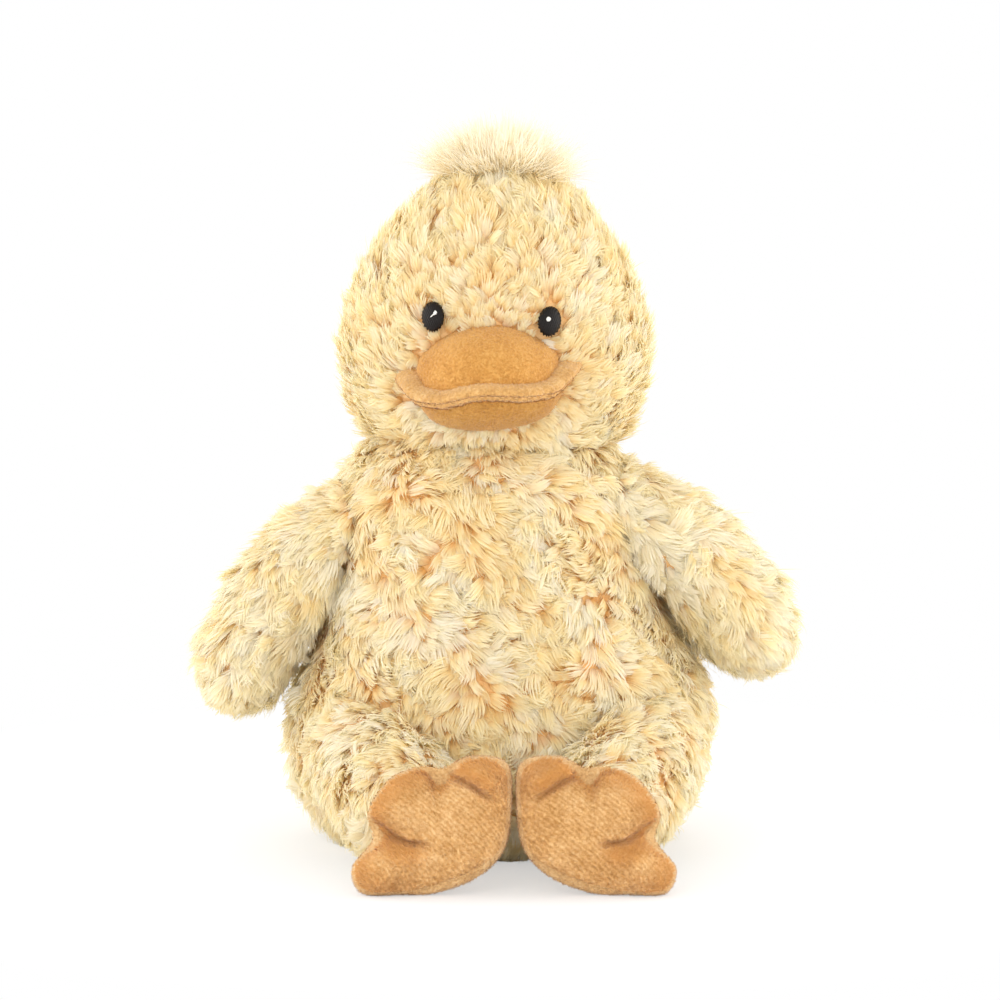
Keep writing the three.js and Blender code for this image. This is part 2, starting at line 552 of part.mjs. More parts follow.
for (const [side, sign] of Object.entries(SIDES)) {
  const hip = new THREE.Group();
  const foldDepth = BODY_HALF_DEPTH * Math.sqrt(1 - LEG_SPREAD_SHARE ** 2);
  const leg = new THREE.Group();
  leg.rotation.set(radians(LEG_SLOPE_DEG), 0, -sign * radians(LEG_TOE_IN_DEG), 'ZYX');
  const foot = new THREE.Group();
  foot.position.set(0, -LEG_LENGTH, -LEG_HALF_HEIGHT).applyEuler(leg.rotation);
  hip.position.set(sign * LEG_SPREAD_SHARE * BODY_HALF_WIDTH, -foldDepth, ANKLE_HEIGHT - foot.position.z);
  hip.add(leg, foot);
  duck.add(hip);

  // The pad stands on the ground beside its neighbour, wherever the ankle is
  const pad = new THREE.Group();
  pad.rotation.set(Math.PI / 2 - radians(FOOT_TILT_DEG), 0, -sign * radians(FOOT_TURN_DEG));
  foot.add(pad);
  const handed = (body) => mirrored(sign, body);
  const sole = handed(soleForm(0, SHOWN_SHARE));
  const back = handed(instepForm(0, SHOWN_SHARE));
  const box = seenFrom(duck, pad, sole.add(back)).boundingBox();
  const innerEdge = sign > 0 ? box.min[0] : box.max[0];
  pad.position.set(FEET_OFFSET + sign * JOINT_GAP - innerEdge, -FOOT_FORWARD, -box.min[2]);

  const ankleBall = (grow) => solid(ball(ANKLE_RADIUS + grow, FACES_ROUND.leg));
  const ankleSocket = seenFrom(pad, foot, ankleBall(JOINT_GAP));
  const soleInside = handed(soleForm(-VELOUR, HIDDEN_SHARE)).add(ankleSocket);
  const backInside = handed(instepForm(-VELOUR, HIDDEN_SHARE)).add(ankleSocket);
  place(`${side}_foot_sole`, sole.subtract(soleInside), TAN_VELOUR, pad);
  place(`${side}_foot_instep`, back.subtract(backInside), TAN_VELOUR, pad);
  const filling = handed(footFilling(VELOUR + SEAM_GAP)).subtract(ankleSocket);
  place(`${side}_foot_stuffing`, filling, FIBRE_FILL, pad);

  // The thigh clears the body as it lifts and the foot as it flops, and ends in the ankle's ball
  const bellyForm = seenFrom(hip, torso, bodyForm(JOINT_GAP, SHOWN_SHARE));
  const belly = seenFrom(leg, hip, swept(bellyForm, AXIS.x, 0, radians(LEG_LIFT_DEG)));
  const ground = seenFrom(leg, duck, beyond('z', 1, 0));
  const clear = (body) => body.subtract(belly).intersect(ground);
  const flop = (room) => {
    const padForm = handed(soleForm(room, HIDDEN_SHARE).add(instepForm(room, HIDDEN_SHARE)));
    const [back, forward] = [-radians(FOOT_FLOP_DEG.back), radians(FOOT_FLOP_DEG.forward)];
    return seenFrom(leg, foot, swept(seenFrom(foot, pad, padForm), AXIS.x, back, forward));
  };
  const limb = (inset, room, detail) => thigh(-inset, detail).subtract(flop(room))
    .add(seenFrom(leg, foot, ankleBall(-inset)));
  const cavity = limb(PLUSH, PLUSH + JOINT_GAP, HIDDEN_SHARE);
  const limbFilling = limb(PLUSH + SEAM_GAP, PLUSH + 2 * JOINT_GAP, HIDDEN_SHARE);
  place(`${side}_leg_cover`, clear(limb(0, JOINT_GAP, SHOWN_SHARE)).subtract(cavity), CREAM_PLUSH, leg);
  place(`${side}_leg_stuffing`, clear(limbFilling), FIBRE_FILL, leg);
}

// Tail: a small stuffed wedge low on the back
const tail = new THREE.Group();
tail.position.set(0, BODY_HALF_DEPTH, BELLY_HEIGHT - TAIL_HALF_THICK);
tail.rotation.x = radians(TAIL_RISE_DEG);
torso.add(tail);

function tailForm(inset, detail) {
  const shape = scaled(TAIL_SHARES, TAIL_HALF_WIDTH, TAIL_ROOT + TAIL_LENGTH);
  return solid(turned(profile(shape, faces(FACES_ALONG.small, detail), -inset), FACES_ROUND.small)
    .scale(1, TAIL_HALF_THICK / TAIL_HALF_WIDTH, 1)
    .rotateX(-Math.PI / 2)
    .translate(0, -TAIL_ROOT, 0));
}

const rump = seenFrom(tail, torso, bodyForm(SEAM_GAP, SHOWN_SHARE));
const tailShell = tailForm(0, SHOWN_SHARE).subtract(tailForm(PLUSH, SHOWN_SHARE));
place('tail_cover', tailShell.subtract(rump), CREAM_PLUSH, tail);
place('tail_stuffing', tailForm(PLUSH + SEAM_GAP, SHOWN_SHARE).subtract(rump), FIBRE_FILL, tail);

duck.updateMatrixWorld(true);
export default duck;
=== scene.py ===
import math

import bpy
import numpy as np
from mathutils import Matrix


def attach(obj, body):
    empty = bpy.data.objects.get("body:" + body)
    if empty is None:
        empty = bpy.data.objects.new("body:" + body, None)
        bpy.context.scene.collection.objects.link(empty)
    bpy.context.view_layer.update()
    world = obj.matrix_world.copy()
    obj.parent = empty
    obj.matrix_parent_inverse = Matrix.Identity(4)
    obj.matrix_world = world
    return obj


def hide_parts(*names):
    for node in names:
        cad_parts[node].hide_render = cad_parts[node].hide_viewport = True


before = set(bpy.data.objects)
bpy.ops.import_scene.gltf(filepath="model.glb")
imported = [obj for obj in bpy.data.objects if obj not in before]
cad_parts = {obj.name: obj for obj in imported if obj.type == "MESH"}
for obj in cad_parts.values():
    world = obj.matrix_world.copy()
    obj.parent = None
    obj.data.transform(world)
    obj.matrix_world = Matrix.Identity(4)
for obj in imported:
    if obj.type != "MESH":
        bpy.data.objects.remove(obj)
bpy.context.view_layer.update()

MM = 0.001
SIDES = {"left": 1, "right": -1}  # the toy's own left is +X

# Forms, as the part has them
SLUMP = 3.6
NECK_RADIUS = 59.0
NECK_HEIGHT = 105.0
SHOULDER_POLAR = 62.0
BODY_HALF = (76.0, 66.0)
BELLY_HEIGHT = 46.0
SEAT_HALF_WIDTH = 54.0
SEAT_DROP = BODY_HALF[0] * math.tan(math.radians(SLUMP))
SEAT_SEAM = 48.0  # half width of the seat panel
HEAD_HALF = (55.5, 49.5)
HEAD_HEIGHT = 110.0
CHIN_HEIGHT = 30.0
HEAD_LINE = [(0, 0), (0.6, 0.03), (0.86, 0.14), (0.975, 0.28), (1, 0.42), (0.93, 0.58),
             (0.79, 0.73), (0.59, 0.86), (0.33, 0.965), (0, 1)]
WING_HALF = (19.5, 24.0)
WING_LENGTH = 108.0
WING_ROOT = 14.0
WING_FORWARD = 4.0
WING_HANG = {"left": 64.0, "right": 62.0}
WING_BOW = math.radians(50)
WING_HINGE_POLAR = math.radians(54.5)
WING_LINE = [(0, 0), (0.62, 0.02), (0.86, 0.14), (0.98, 0.34), (1, 0.58), (0.93, 0.78), (0.74, 0.9),
             (0.45, 0.97), (0, 1)]
LEG_HALF = (22.0, 25.0)
LEG_LENGTH = 47.0
LEG_ROOT = 24.0
LEG_SLOPE = 15.0
LEG_TOE_IN = 17.0
LEG_LINE = [(0, 0), (0.7, 0.01), (0.93, 0.12), (1, 0.4), (0.97, 0.7), (0.86, 0.9), (0.7, 1),
            (0, 1.02)]
HIP = (44.08, -53.765, 58.31)
ANKLE_RADIUS = 17.0
TAIL_HALF = (20.0, 13.0)
TAIL_LENGTH = 36.0
TAIL_ROOT = 20.0
TAIL_RISE = 35.0
TAIL_LINE = [(0, 0), (0.8, 0.02), (1, 0.35), (0.86, 0.65), (0.5, 0.9), (0, 1)]
BACKING_DEPTH = 3.6  # of the cloth under the tips of the pile
CLOTH = 1.2  # thick
CLEAR = 0.8  # how far a cover keeps from what it rests on
FULL_TURN = (0, 2 * math.pi)


# Moves, as four by four matrices
def turned(axis, degrees):
    """A turn round one axis, counterclockwise as seen from its positive end."""
    c, s = math.cos(math.radians(degrees)), math.sin(math.radians(degrees))
    first, second = {"x": (1, 2), "y": (2, 0), "z": (0, 1)}[axis]
    m = np.eye(4)
    m[first, first] = m[second, second] = c
    m[first, second], m[second, first] = -s, s
    return m


def shifted(x, y, z):
    """A move by x, y and z."""
    m = np.eye(4)
    m[:3, 3] = x, y, z
    return m


def seen(matrix, points):
    """Points after a move: the matrix's turn times each point, plus its shift."""
    return points @ matrix[:3, :3].T + matrix[:3, 3]


def unit(vectors):
    """Vectors over their own lengths."""
    return vectors / np.maximum(np.linalg.norm(vectors, axis=-1, keepdims=True), 1e-9)


def eased(x, low, high):
    """Rises smoothly from 0 at low to 1 at high, as 3 t squared less 2 t cubed."""
    t = np.clip((x - low) / (high - low), 0, 1)
    return t * t * (3 - 2 * t)


def through(p, spans=24):
    """A Catmull-Rom curve through all of the points but the first and the last: a cubic between
    each two, whose slope at a point is half the way from the point before to the one after."""
    t = np.linspace(0, 1, spans, endpoint=False)[None, :, None]
    a, b, c, d = (p[i:len(p) - 3 + i, None, :] for i in range(4))
    square, cube = 2 * a - 5 * b + 4 * c - d, 3 * b - a - 3 * c + d
    return (0.5 * (2 * b + (c - a) * t + square * t**2 + cube * t**3)).reshape(-1, 2)


def smooth_line(pairs, count=240):
    """Points at even distances along a Catmull-Rom curve through the pairs."""
    p = np.array(pairs, float)
    p = np.vstack([2 * p[0] - p[1], p, 2 * p[-1] - p[-2]])
    return evenly(np.vstack([through(p), p[-2]]), count)


def bell(x, height, width):
    """A bell curve: its height times e to the power of less x over its width, squared."""
    return height * np.exp(-((x / width) ** 2))


def evenly(curve, count):
    """Points at even distances along a line of points."""
    far = np.concatenate([[0], np.cumsum(np.linalg.norm(np.diff(curve, axis=0), axis=1))])
    at = np.linspace(0, far[-1], count)
    return np.stack([np.interp(at, far, curve[:, k]) for k in range(curve.shape[1])], axis=1)


def ripple(points, wavelength, seed, waves=7):
    """A soft random field, from about -1 to 1: the sum of sines along random directions."""
    pick = np.random.default_rng(seed)
    k = unit(pick.normal(size=(waves, 3))) * (2 * math.pi / wavelength)
    k = k * pick.uniform(0.6, 1.5, (waves, 1))
    phase = pick.uniform(*FULL_TURN, waves)
    return np.sin(points @ k.T + phase).sum(axis=-1) * math.sqrt(2 / waves) * 0.6


class Form:
    """A stuffed form: a profile of radius and height turned round an axis, then squashed and bent
    by reshape, and put in its place by a matrix."""

    def __init__(self, line, reshape, matrix, back, hand=1):
        """Also measures the line: each of its points' share of the way along it."""
        self.line = line
        self.reshape = reshape
        self.matrix = matrix
        self.back = back  # undoes reshape
        self.hand = hand  # -1 where reshape mirrors
        far = np.linalg.norm(np.diff(line, axis=0), axis=1)
        self.length = far.sum()
        self.far = np.concatenate([[0], np.cumsum(far)]) / self.length

    def at(self, angle, along):
        """x and y are the profile's radius times the angle's cosine and sine, z its height."""
        r = np.interp(along, self.far, self.line[:, 0])
        z = np.interp(along, self.far, self.line[:, 1])
        p = np.stack([r * np.cos(angle), r * np.sin(angle), z], axis=-1)
        return seen(self.matrix, self.reshape(p))

    def frame(self, angle, along):
        """The place and the outward normal, from the slopes along both parameters."""
        step, turn = 0.004, 0.03
        low, high = np.clip(along - step, 0.001, 0.998), np.clip(along + step, 0.002, 0.999)
        inside = np.clip(along, 0.002, 0.998)
        across = self.at(angle + turn, inside) - self.at(angle - turn, inside)
        up = self.at(angle, high) - self.at(angle, low)
        return self.at(angle, along), self.hand * unit(np.cross(across, up)), unit(up)

    def radius(self, height, beyond=0):
        """The profile's radius at a height, and a set value beyond its ends."""
        line = self.line[np.argsort(self.line[:, 1], kind="stable")]
        return np.interp(height, line[:, 1], line[:, 0], left=beyond, right=beyond)

    def depth(self, points):
        """How deep points lie in the form: the profile's radius at their height, less their
        distance from the axis. It is less than 0 outside the form."""
        p = self.back(seen(np.linalg.inv(self.matrix), points))
        return self.radius(p[..., 2], -50) - np.hypot(p[..., 0], p[..., 1])

    def pressed(self, points, gap):
        """Points inside the form are moved straight out to its side, and past it by a gap."""
        p = self.back(seen(np.linalg.inv(self.matrix), points))
        radius = np.hypot(p[..., 0], p[..., 1])
        r = self.radius(p[..., 2])
        grow = np.where((radius < r + gap) & (r > 0), (r + gap) / np.maximum(radius, 1e-6), 1)
        moved = np.stack([p[..., 0] * grow, p[..., 1] * grow, p[..., 2]], axis=-1)
        return seen(self.matrix, self.reshape(moved))


# Body: a pear with a ball on top, sitting flat
TORSO = turned("y", -SLUMP)
SHOULDER = (NECK_RADIUS * math.sin(math.radians(SHOULDER_POLAR)),
            NECK_HEIGHT + NECK_RADIUS * math.cos(math.radians(SHOULDER_POLAR)))
FLANK = [(SEAT_HALF_WIDTH, -SEAT_DROP), (0.93 * BODY_HALF[0], 0.35 * BELLY_HEIGHT),
         (BODY_HALF[0], BELLY_HEIGHT),
         (BODY_HALF[0] + 0.6 * (SHOULDER[0] - BODY_HALF[0]),
          BELLY_HEIGHT + 0.5 * (SHOULDER[1] - BELLY_HEIGHT)),
         SHOULDER]
POLAR = np.radians(np.linspace(SHOULDER_POLAR, 0, 60))
BODY_LINE = np.vstack([
    np.linspace((0, -SEAT_DROP), (SEAT_HALF_WIDTH, -SEAT_DROP), 40)[:-1],
    smooth_line(FLANK, 140)[:-1],
    np.stack([NECK_RADIUS * np.sin(POLAR), NECK_HEIGHT + NECK_RADIUS * np.cos(POLAR)], axis=1),
])


def body_depth(z):
    """The body's depth as a share of its width, which eases up to 1 at the shoulders."""
    share = BODY_HALF[1] / BODY_HALF[0]
    return share + (1 - share) * eased(z, BELLY_HEIGHT, SHOULDER[1])


BODY = Form(BODY_LINE,
            lambda p: np.stack([p[..., 0], p[..., 1] * body_depth(p[..., 2]), p[..., 2]], -1),
            TORSO,
            lambda p: np.stack([p[..., 0], p[..., 1] / body_depth(p[..., 2]), p[..., 2]], -1))


def oval(half):
    """A squash that makes a round form as wide as half's first number and as deep as its second."""
    share = half[1] / half[0]
    return (lambda p: p * np.array([1, share, 1]), lambda p: p / np.array([1, share, 1]))


# Head, in the head's own frame: the crown up, the face along -Y
HEAD_TILT = 5.6
HEAD_TURN = -2.5
HEAD_PLACE = TORSO @ shifted(0, 0, NECK_HEIGHT) @ turned("y", HEAD_TILT) @ turned("z", HEAD_TURN)
FROM_HEAD = np.linalg.inv(HEAD_PLACE)
flat, round_ = oval(HEAD_HALF)
HEAD = Form(smooth_line(np.array(HEAD_LINE) * (HEAD_HALF[0], HEAD_HEIGHT) + (0, CHIN_HEIGHT)), flat,
            HEAD_PLACE, round_)


# Wings: turned, hung from the hinge, and bowed inwards
def wing_hinge(sign):
    """Where a wing's hinge is on the neck's ball, by its angle from the ball's top."""
    return (sign * NECK_RADIUS * math.sin(WING_HINGE_POLAR), 0,
            NECK_HEIGHT + NECK_RADIUS * math.cos(WING_HINGE_POLAR))


def wing_moves(sign):
    """How a straight paddle is hung and bowed, and back. Its length is rolled onto a circle, so
    that a distance along it over the circle's radius is its turn."""
    radius = (WING_LENGTH + WING_ROOT) / WING_BOW
    depth = WING_HALF[1] / WING_HALF[0]

    def bowed(p):
        """x goes out from the circle, y is squashed, and z turns round the circle."""
        x, y, z = p[..., 0] - WING_HALF[0], -p[..., 1] * depth - WING_FORWARD, WING_ROOT - p[..., 2]
        turn, out = -z / radius, radius + x
        return np.stack([sign * (out * np.cos(turn) - radius), y, -out * np.sin(turn)], -1)

    def straight(p):
        """Back again: the turn round the circle's middle times its radius is z."""
        x, z = p[..., 0] * sign + radius, -p[..., 2]
        turn, out = np.arctan2(z, x), np.hypot(x, z)
        y = -(p[..., 1] + WING_FORWARD) / depth
        return np.stack([out - radius + WING_HALF[0], y, turn * radius + WING_ROOT], -1)

    return bowed, straight


def wing_form(side, sign):
    """A wing: a squashed paddle, bowed inwards and hung from its hinge at its own angle."""
    hinge = shifted(*wing_hinge(sign))
    bowed, straight = wing_moves(sign)
    line = smooth_line(np.array(WING_LINE) * (WING_HALF[0], WING_ROOT + WING_LENGTH))
    return Form(line, bowed, TORSO @ hinge @ turned("y", -sign * WING_HANG[side]), straight, sign)


def leg_form(sign):
    """A thigh: an oval tube that runs forward and down from the hip, and toes in."""
    place = shifted(sign * HIP[0], HIP[1], HIP[2])
    place = place @ turned("z", -sign * LEG_TOE_IN) @ turned("x", LEG_SLOPE)
    place = place @ shifted(0, LEG_ROOT, -LEG_HALF[1]) @ turned("x", 90)
    line = smooth_line(np.array(LEG_LINE) * (LEG_HALF[0], LEG_ROOT + LEG_LENGTH))
    flat, round_ = oval(LEG_HALF)
    return Form(line, flat, place, round_)


WINGS = {side: wing_form(side, sign) for side, sign in SIDES.items()}
LEGS = {side: leg_form(sign) for side, sign in SIDES.items()}
flat, round_ = oval(TAIL_HALF)
TAIL = Form(smooth_line(np.array(TAIL_LINE) * (TAIL_HALF[0], TAIL_ROOT + TAIL_LENGTH)), flat,
            TORSO @ shifted(0, BODY_HALF[1], BELLY_HEIGHT - TAIL_HALF[1]) @ turned("x", TAIL_RISE)
            @ shifted(0, -TAIL_ROOT, 0) @ turned("x", -90), round_)


# Meshes
def add_piece(name, points, faces, material, body):
    """A piece from points in millimetres and lists of faces, riding on a body."""
    mesh = bpy.data.meshes.new(name)
    corners = np.concatenate([f.ravel() for f in faces]).astype(np.int32)
    totals = np.concatenate([np.full(len(f), f.shape[1]) for f in faces]).astype(np.int32)
    mesh.vertices.add(len(points))
    mesh.vertices.foreach_set("co", (points * MM).astype(np.float32).ravel())
    mesh.loops.add(len(corners))
    mesh.loops.foreach_set("vertex_index", corners)
    mesh.polygons.add(len(totals))
    starts = np.concatenate([[0], np.cumsum(totals)[:-1]]).astype(np.int32)
    mesh.polygons.foreach_set("loop_start", starts)
    mesh.polygons.foreach_set("loop_total", totals)
    mesh.polygons.foreach_set("use_smooth", np.full(len(totals), True))
    mesh.update(calc_edges=True)
    for m in material if isinstance(material, (list, tuple)) else [material]:
        mesh.materials.append(m)
    piece = bpy.data.objects.new(name, mesh)
    bpy.context.scene.collection.objects.link(piece)
    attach(piece, body)
    return piece


def set_attribute(piece, name, kind, values):
    """A named value or vector for each of the piece's points."""
    size = {"FLOAT": "value", "FLOAT_VECTOR": "vector"}[kind]
    attribute = piece.data.attributes.new(name, kind, "POINT")
    attribute.data.foreach_set(size, np.ascontiguousarray(values, np.float32).ravel())


def set_map(piece, name, places):
    """A UV map from one place per vertex."""
    vertex = np.empty(len(piece.data.loops), np.int32)
    piece.data.loops.foreach_get("vertex_index", vertex)
    layer = piece.data.uv_layers.new(name=name)
    layer.uv.foreach_set("vector", np.ascontiguousarray(places[vertex], np.float32).ravel())


def grid_faces(rows, columns, closed=False):
    """Quads of a grid of points in rows, joined round where closed."""
    i = np.arange(rows - 1)[:, None] * columns
    j = np.arange(columns if closed else columns - 1)[None, :]
    k = (j + 1) % columns
    return np.stack([i + j, i + k, i + k + columns, i + j + columns], -1).reshape(-1, 4)


# Materials
class Sock:
    """A shader socket that adds a Math node for each operator used on it."""

    def __init__(self, nodes, link):
        self.nodes = nodes
        self.link = link

    def __mul__(self, other):
        return self.nodes.math("MULTIPLY", self, other)

    def __add__(self, other):
        return self.nodes.math("ADD", self, other)

    def __sub__(self, other):
        return self.nodes.math("SUBTRACT", self, other)

    def __rsub__(self, other):
        return self.nodes.math("SUBTRACT", other, self)

    def __truediv__(self, other):
        return self.nodes.math("DIVIDE", self, other)

    def __rtruediv__(self, other):
        return self.nodes.math("DIVIDE", other, self)

    __rmul__ = __mul__
    __radd__ = __add__


class Nodes:
    """A tree of shader nodes that are added by expressions."""

    def __init__(self, tree):
        self.tree = tree

    def node(self, kind, settings=None, **sockets):
        """A node of any type: its settings first, then the values or links of its sockets."""
        n = self.tree.nodes.new(kind)
        for key, value in (settings or {}).items():
            if key == "stops":
                while len(n.color_ramp.elements) < len(value):
                    n.color_ramp.elements.new(0.5)
                for element, (place, color) in zip(n.color_ramp.elements, value):
                    element.position = place
                    element.color = (*color, 1)
            else:
                setattr(n, key, value)
        for key, value in sockets.items():
            numbered = key[0] == "i" and key[1:].isdigit()
            socket = n.inputs[int(key[1:]) if numbered else key.replace("_", " ")]
            self.put(socket, value)
        return n

    def put(self, socket, value):
        """Links a socket to another, or sets its value."""
        if isinstance(value, Sock):
            self.tree.links.new(value.link, socket)
        else:
            socket.default_value = value

    def out(self, node, name=0):
        """A node's output, by its name or number."""
        return Sock(self, node.outputs[name])

    def math(self, operation, first, second=0.0, third=0.0, clamp=False):
        """A Math node's value."""
        return self.out(self.node("ShaderNodeMath", {"operation": operation, "use_clamp": clamp},
                                  i0=first, i1=second, i2=third))

    def clamped(self, value):
        """The value, kept from 0 to 1."""
        return self.math("ADD", value, 0.0, clamp=True)

    def blended(self, factor, first, second):
        """Two shaders, mixed by a factor."""
        return self.out(self.node("ShaderNodeMixShader", None, i0=factor, i1=first, i2=second))

    def show(self, end, shader):
        """Links a shader to the tree's end node."""
        self.put(self.tree.nodes[end].inputs["Surface"], shader)


class Paint(Nodes):
    """A material whose nodes are added by expressions."""

    def __init__(self, name, roughness, **settings):
        self.material = bpy.data.materials.new(name)
        self.material.use_nodes = True
        super().__init__(self.material.node_tree)
        self.shader = self.tree.nodes["Principled BSDF"]
        self.set("Roughness", roughness)
        for key, value in settings.items():
            self.set(key.replace("_", " ").title().replace("Ior", "IOR"), value)

    def attribute(self, name, output="Vector"):
        """What set_attribute gave the piece's points."""
        return self.out(self.node("ShaderNodeAttribute", {"attribute_name": name}), output)

    def parts(self, vector):
        """A vector's three numbers."""
        n = self.node("ShaderNodeSeparateXYZ", None, Vector=vector)
        return [self.out(n, k) for k in range(3)]

    def place(self):
        """Object coordinates in millimetres."""
        spot = self.out(self.node("ShaderNodeTexCoord"), "Object")
        return self.out(self.node("ShaderNodeVectorMath", {"operation": "SCALE"},
                                  Vector=spot, Scale=1 / MM))

    def noise(self, where, scale, detail=2.0, rough=0.5, twist=0.0):
        """A soft random value from 0 to 1."""
        return self.out(self.node("ShaderNodeTexNoise", None, Vector=where, Scale=scale,
                                  Detail=detail, Roughness=rough, Distortion=twist), "Fac")

    def ramp(self, factor, *stops):
        """A colour by its place between stops."""
        return self.out(self.node("ShaderNodeValToRGB", {"stops": stops}, Fac=factor), "Color")

    def mixed(self, factor, first, second, blend="MIX"):
        """Two colours mixed or blended by a factor."""
        n = self.node("ShaderNodeMix", {"data_type": "RGBA", "blend_type": blend},
                      i0=factor, i6=first, i7=second)
        return self.out(n, 2)

    def set(self, name, value):
        """Sets or links one of the main shader's sockets."""
        self.put(self.shader.inputs[name], value)

    def bump(self, height, distance, strength=1.0):
        """Lets a height in millimetres tilt the surface's shading."""
        n = self.node("ShaderNodeBump", None, Strength=strength, Distance=distance * MM,
                      Height=height)
        self.set("Normal", self.out(n, "Normal"))


def linear(red, green, blue):
    """A colour from its screen values, from 0 to 255, by the screen's own curve."""
    v = np.array([red, green, blue]) / 255
    return tuple(float(x) for x in np.where(v <= 0.04045, v / 12.92, ((v + 0.055) / 1.055) ** 2.4))


def tinted(red, green, blue):
    """The same colour with its alpha, as a socket takes it."""
    return (*linear(red, green, blue), 1)


def grained(name, roughness, scale, stops, bump, detail=4.0, rough=0.6, **settings):
    """A material that runs between two colours by a fine noise, which also is its bump's
    height."""
    paint = Paint(name, roughness, **settings)
    grain = paint.noise(paint.place(), scale, detail, rough)
    paint.set("Base Color", paint.ramp(grain, (0.3, stops[0]), (0.7, stops[1])))
    paint.bump(grain, *bump)
    return paint.material


def pile_material(name, let_through, glow, root, middle, tip, pale, warm):
    """Fibres run from tan roots to cream tips. Each lock is paler or warmer than the next, and a
    share of the light goes through to the fibre's other side, coloured by glow."""
    paint = Paint(name, 0.85, sheen_weight=0.1, sheen_roughness=0.5)
    along, lock, fibre = paint.parts(paint.attribute("fibre"))
    color = paint.ramp(along, (0.05, linear(*root)), (0.5, linear(*middle)), (0.85, linear(*tip)))
    color = paint.mixed(paint.clamped((lock - 0.52) * 2.2), color, tinted(*pale))
    color = paint.mixed(paint.clamped((0.45 - lock) * 1.7) * 0.8, color, tinted(*warm))
    shade = paint.ramp(fibre, (0.0, (0.95, 0.92, 0.86)), (1.0, (1.0, 1.0, 1.0)))
    color = paint.mixed(1.0, color, shade, "MULTIPLY")
    streak = paint.noise(paint.attribute("strand"), 3.2, 2.0, 0.6)
    lines = paint.ramp(streak, (0.32, (0.86, 0.8, 0.7)), (0.52, (1.0, 1.0, 1.0)))
    color = paint.mixed(0.8, color, lines, "MULTIPLY")
    paint.bump(streak, 0.25, 0.6)
    paint.set("Base Color", color)
    glowing = paint.out(paint.node("ShaderNodeBsdfTranslucent", None, Color=tinted(*glow)))
    paint.show("Material Output", paint.blended(let_through, paint.out(paint.shader), glowing))
    return paint.material


def backing_material():
    """Knitted backing of the pile, tan and fuzzy."""
    paint = Paint("plush_backing", 0.95, sheen_weight=0.2)
    where = paint.place()
    grain = paint.noise(where, 0.9, 4.0, 0.6)
    soft = paint.noise(where, 0.12, 2.0)
    paint.set("Base Color", paint.ramp(soft * 0.6 + grain * 0.4, (0.3, linear(234, 178, 114)),
                                       (0.7, linear(248, 206, 148))))
    paint.bump(grain, 0.6, 0.8)
    return paint.material


CREAM_PILE = pile_material("cream_pile", let_through=0.54, glow=(255, 247, 216),
                           root=(243, 184, 110), middle=(255, 238, 192), tip=(255, 251, 226),
                           pale=(255, 255, 250), warm=(255, 227, 168))
CREST_PILE = pile_material("crest_pile", let_through=0.6, glow=(255, 249, 234),
                           root=(252, 219, 160), middle=(255, 243, 212), tip=(255, 250, 234),
                           pale=(255, 254, 242), warm=(255, 242, 206))
PLUSH_BACKING = backing_material()

# Pile: how the locks of one panel lie
STEPS = np.array([0, 0.36, 0.74, 1])  # places along a strand, the last being its tip
RINGS = len(STEPS)
RIBBON = np.array([0.75, 1.1, 0.95, 0])  # a strand's width at each of them
PETAL = [0.5, 0.8, 1.0, 0.95, 0.6]  # a lock's width along it
FLATNESS = 0.4  # a lock's thickness as a share of its width
LOCK_STRANDS = 14
WISPS = 7  # loose hairs over each lock
WISP_SIZE = (1.08, 1.25)  # their length and spread, as shares of the lock's
SHELL_MAP = 0.15  # share of the bake's map that the backing has
ROOT_DEPTH = BACKING_DEPTH - 0.3  # under the tips of the pile
THINNED = 0.35  # share of the locks left out where something rests on the pile
LAID_DOWN = {"length": 0.3, "rise": 0.75, "fall": 0.85}  # and what the rest lose of each there


def lock_places(form, spacing, start, stop, rng):
    """Angles and places along a form for locks at even spacing: rows along the profile, each with
    as many places round as its length allows, moved a little at random."""
    rows = max(int(form.length * (stop - start) / spacing), 1)
    angles, alongs = [], []
    for along in start + (np.arange(rows) + 0.5) / rows * (stop - start):
        ring = form.at(np.linspace(0, 2 * math.pi, 33), np.full(33, along))
        count = max(int(np.linalg.norm(np.diff(ring, axis=0), axis=1).sum() / spacing), 1)
        places = np.arange(count) + rng.uniform(0, 1) + rng.uniform(-0.4, 0.4, count)
        angles.append(places / count * 2 * math.pi)
        alongs.append(along + rng.uniform(-0.5, 0.5, count) * spacing / form.length)
    return np.concatenate(angles), np.clip(np.concatenate(alongs), start, stop)


def fibre_path(s, rise, fall, curl):
    """Where a fibre of length 1 is after a share s: its elevation runs from rise by -fall, and it
    swings sideways by curl. These are the integrals of its direction's cosines and sines."""
    plus, minus = curl - fall, -fall - curl
    more, less = rise + plus * s, rise + minus * s
    forward = ((np.sin(more) - np.sin(rise)) / plus + (np.sin(less) - np.sin(rise)) / minus) / 2
    aside = ((np.cos(rise) - np.cos(more)) / plus - (np.cos(rise) - np.cos(less)) / minus) / 2
    up = (np.cos(rise) - np.cos(rise - fall * s)) / -fall
    return forward, aside, up


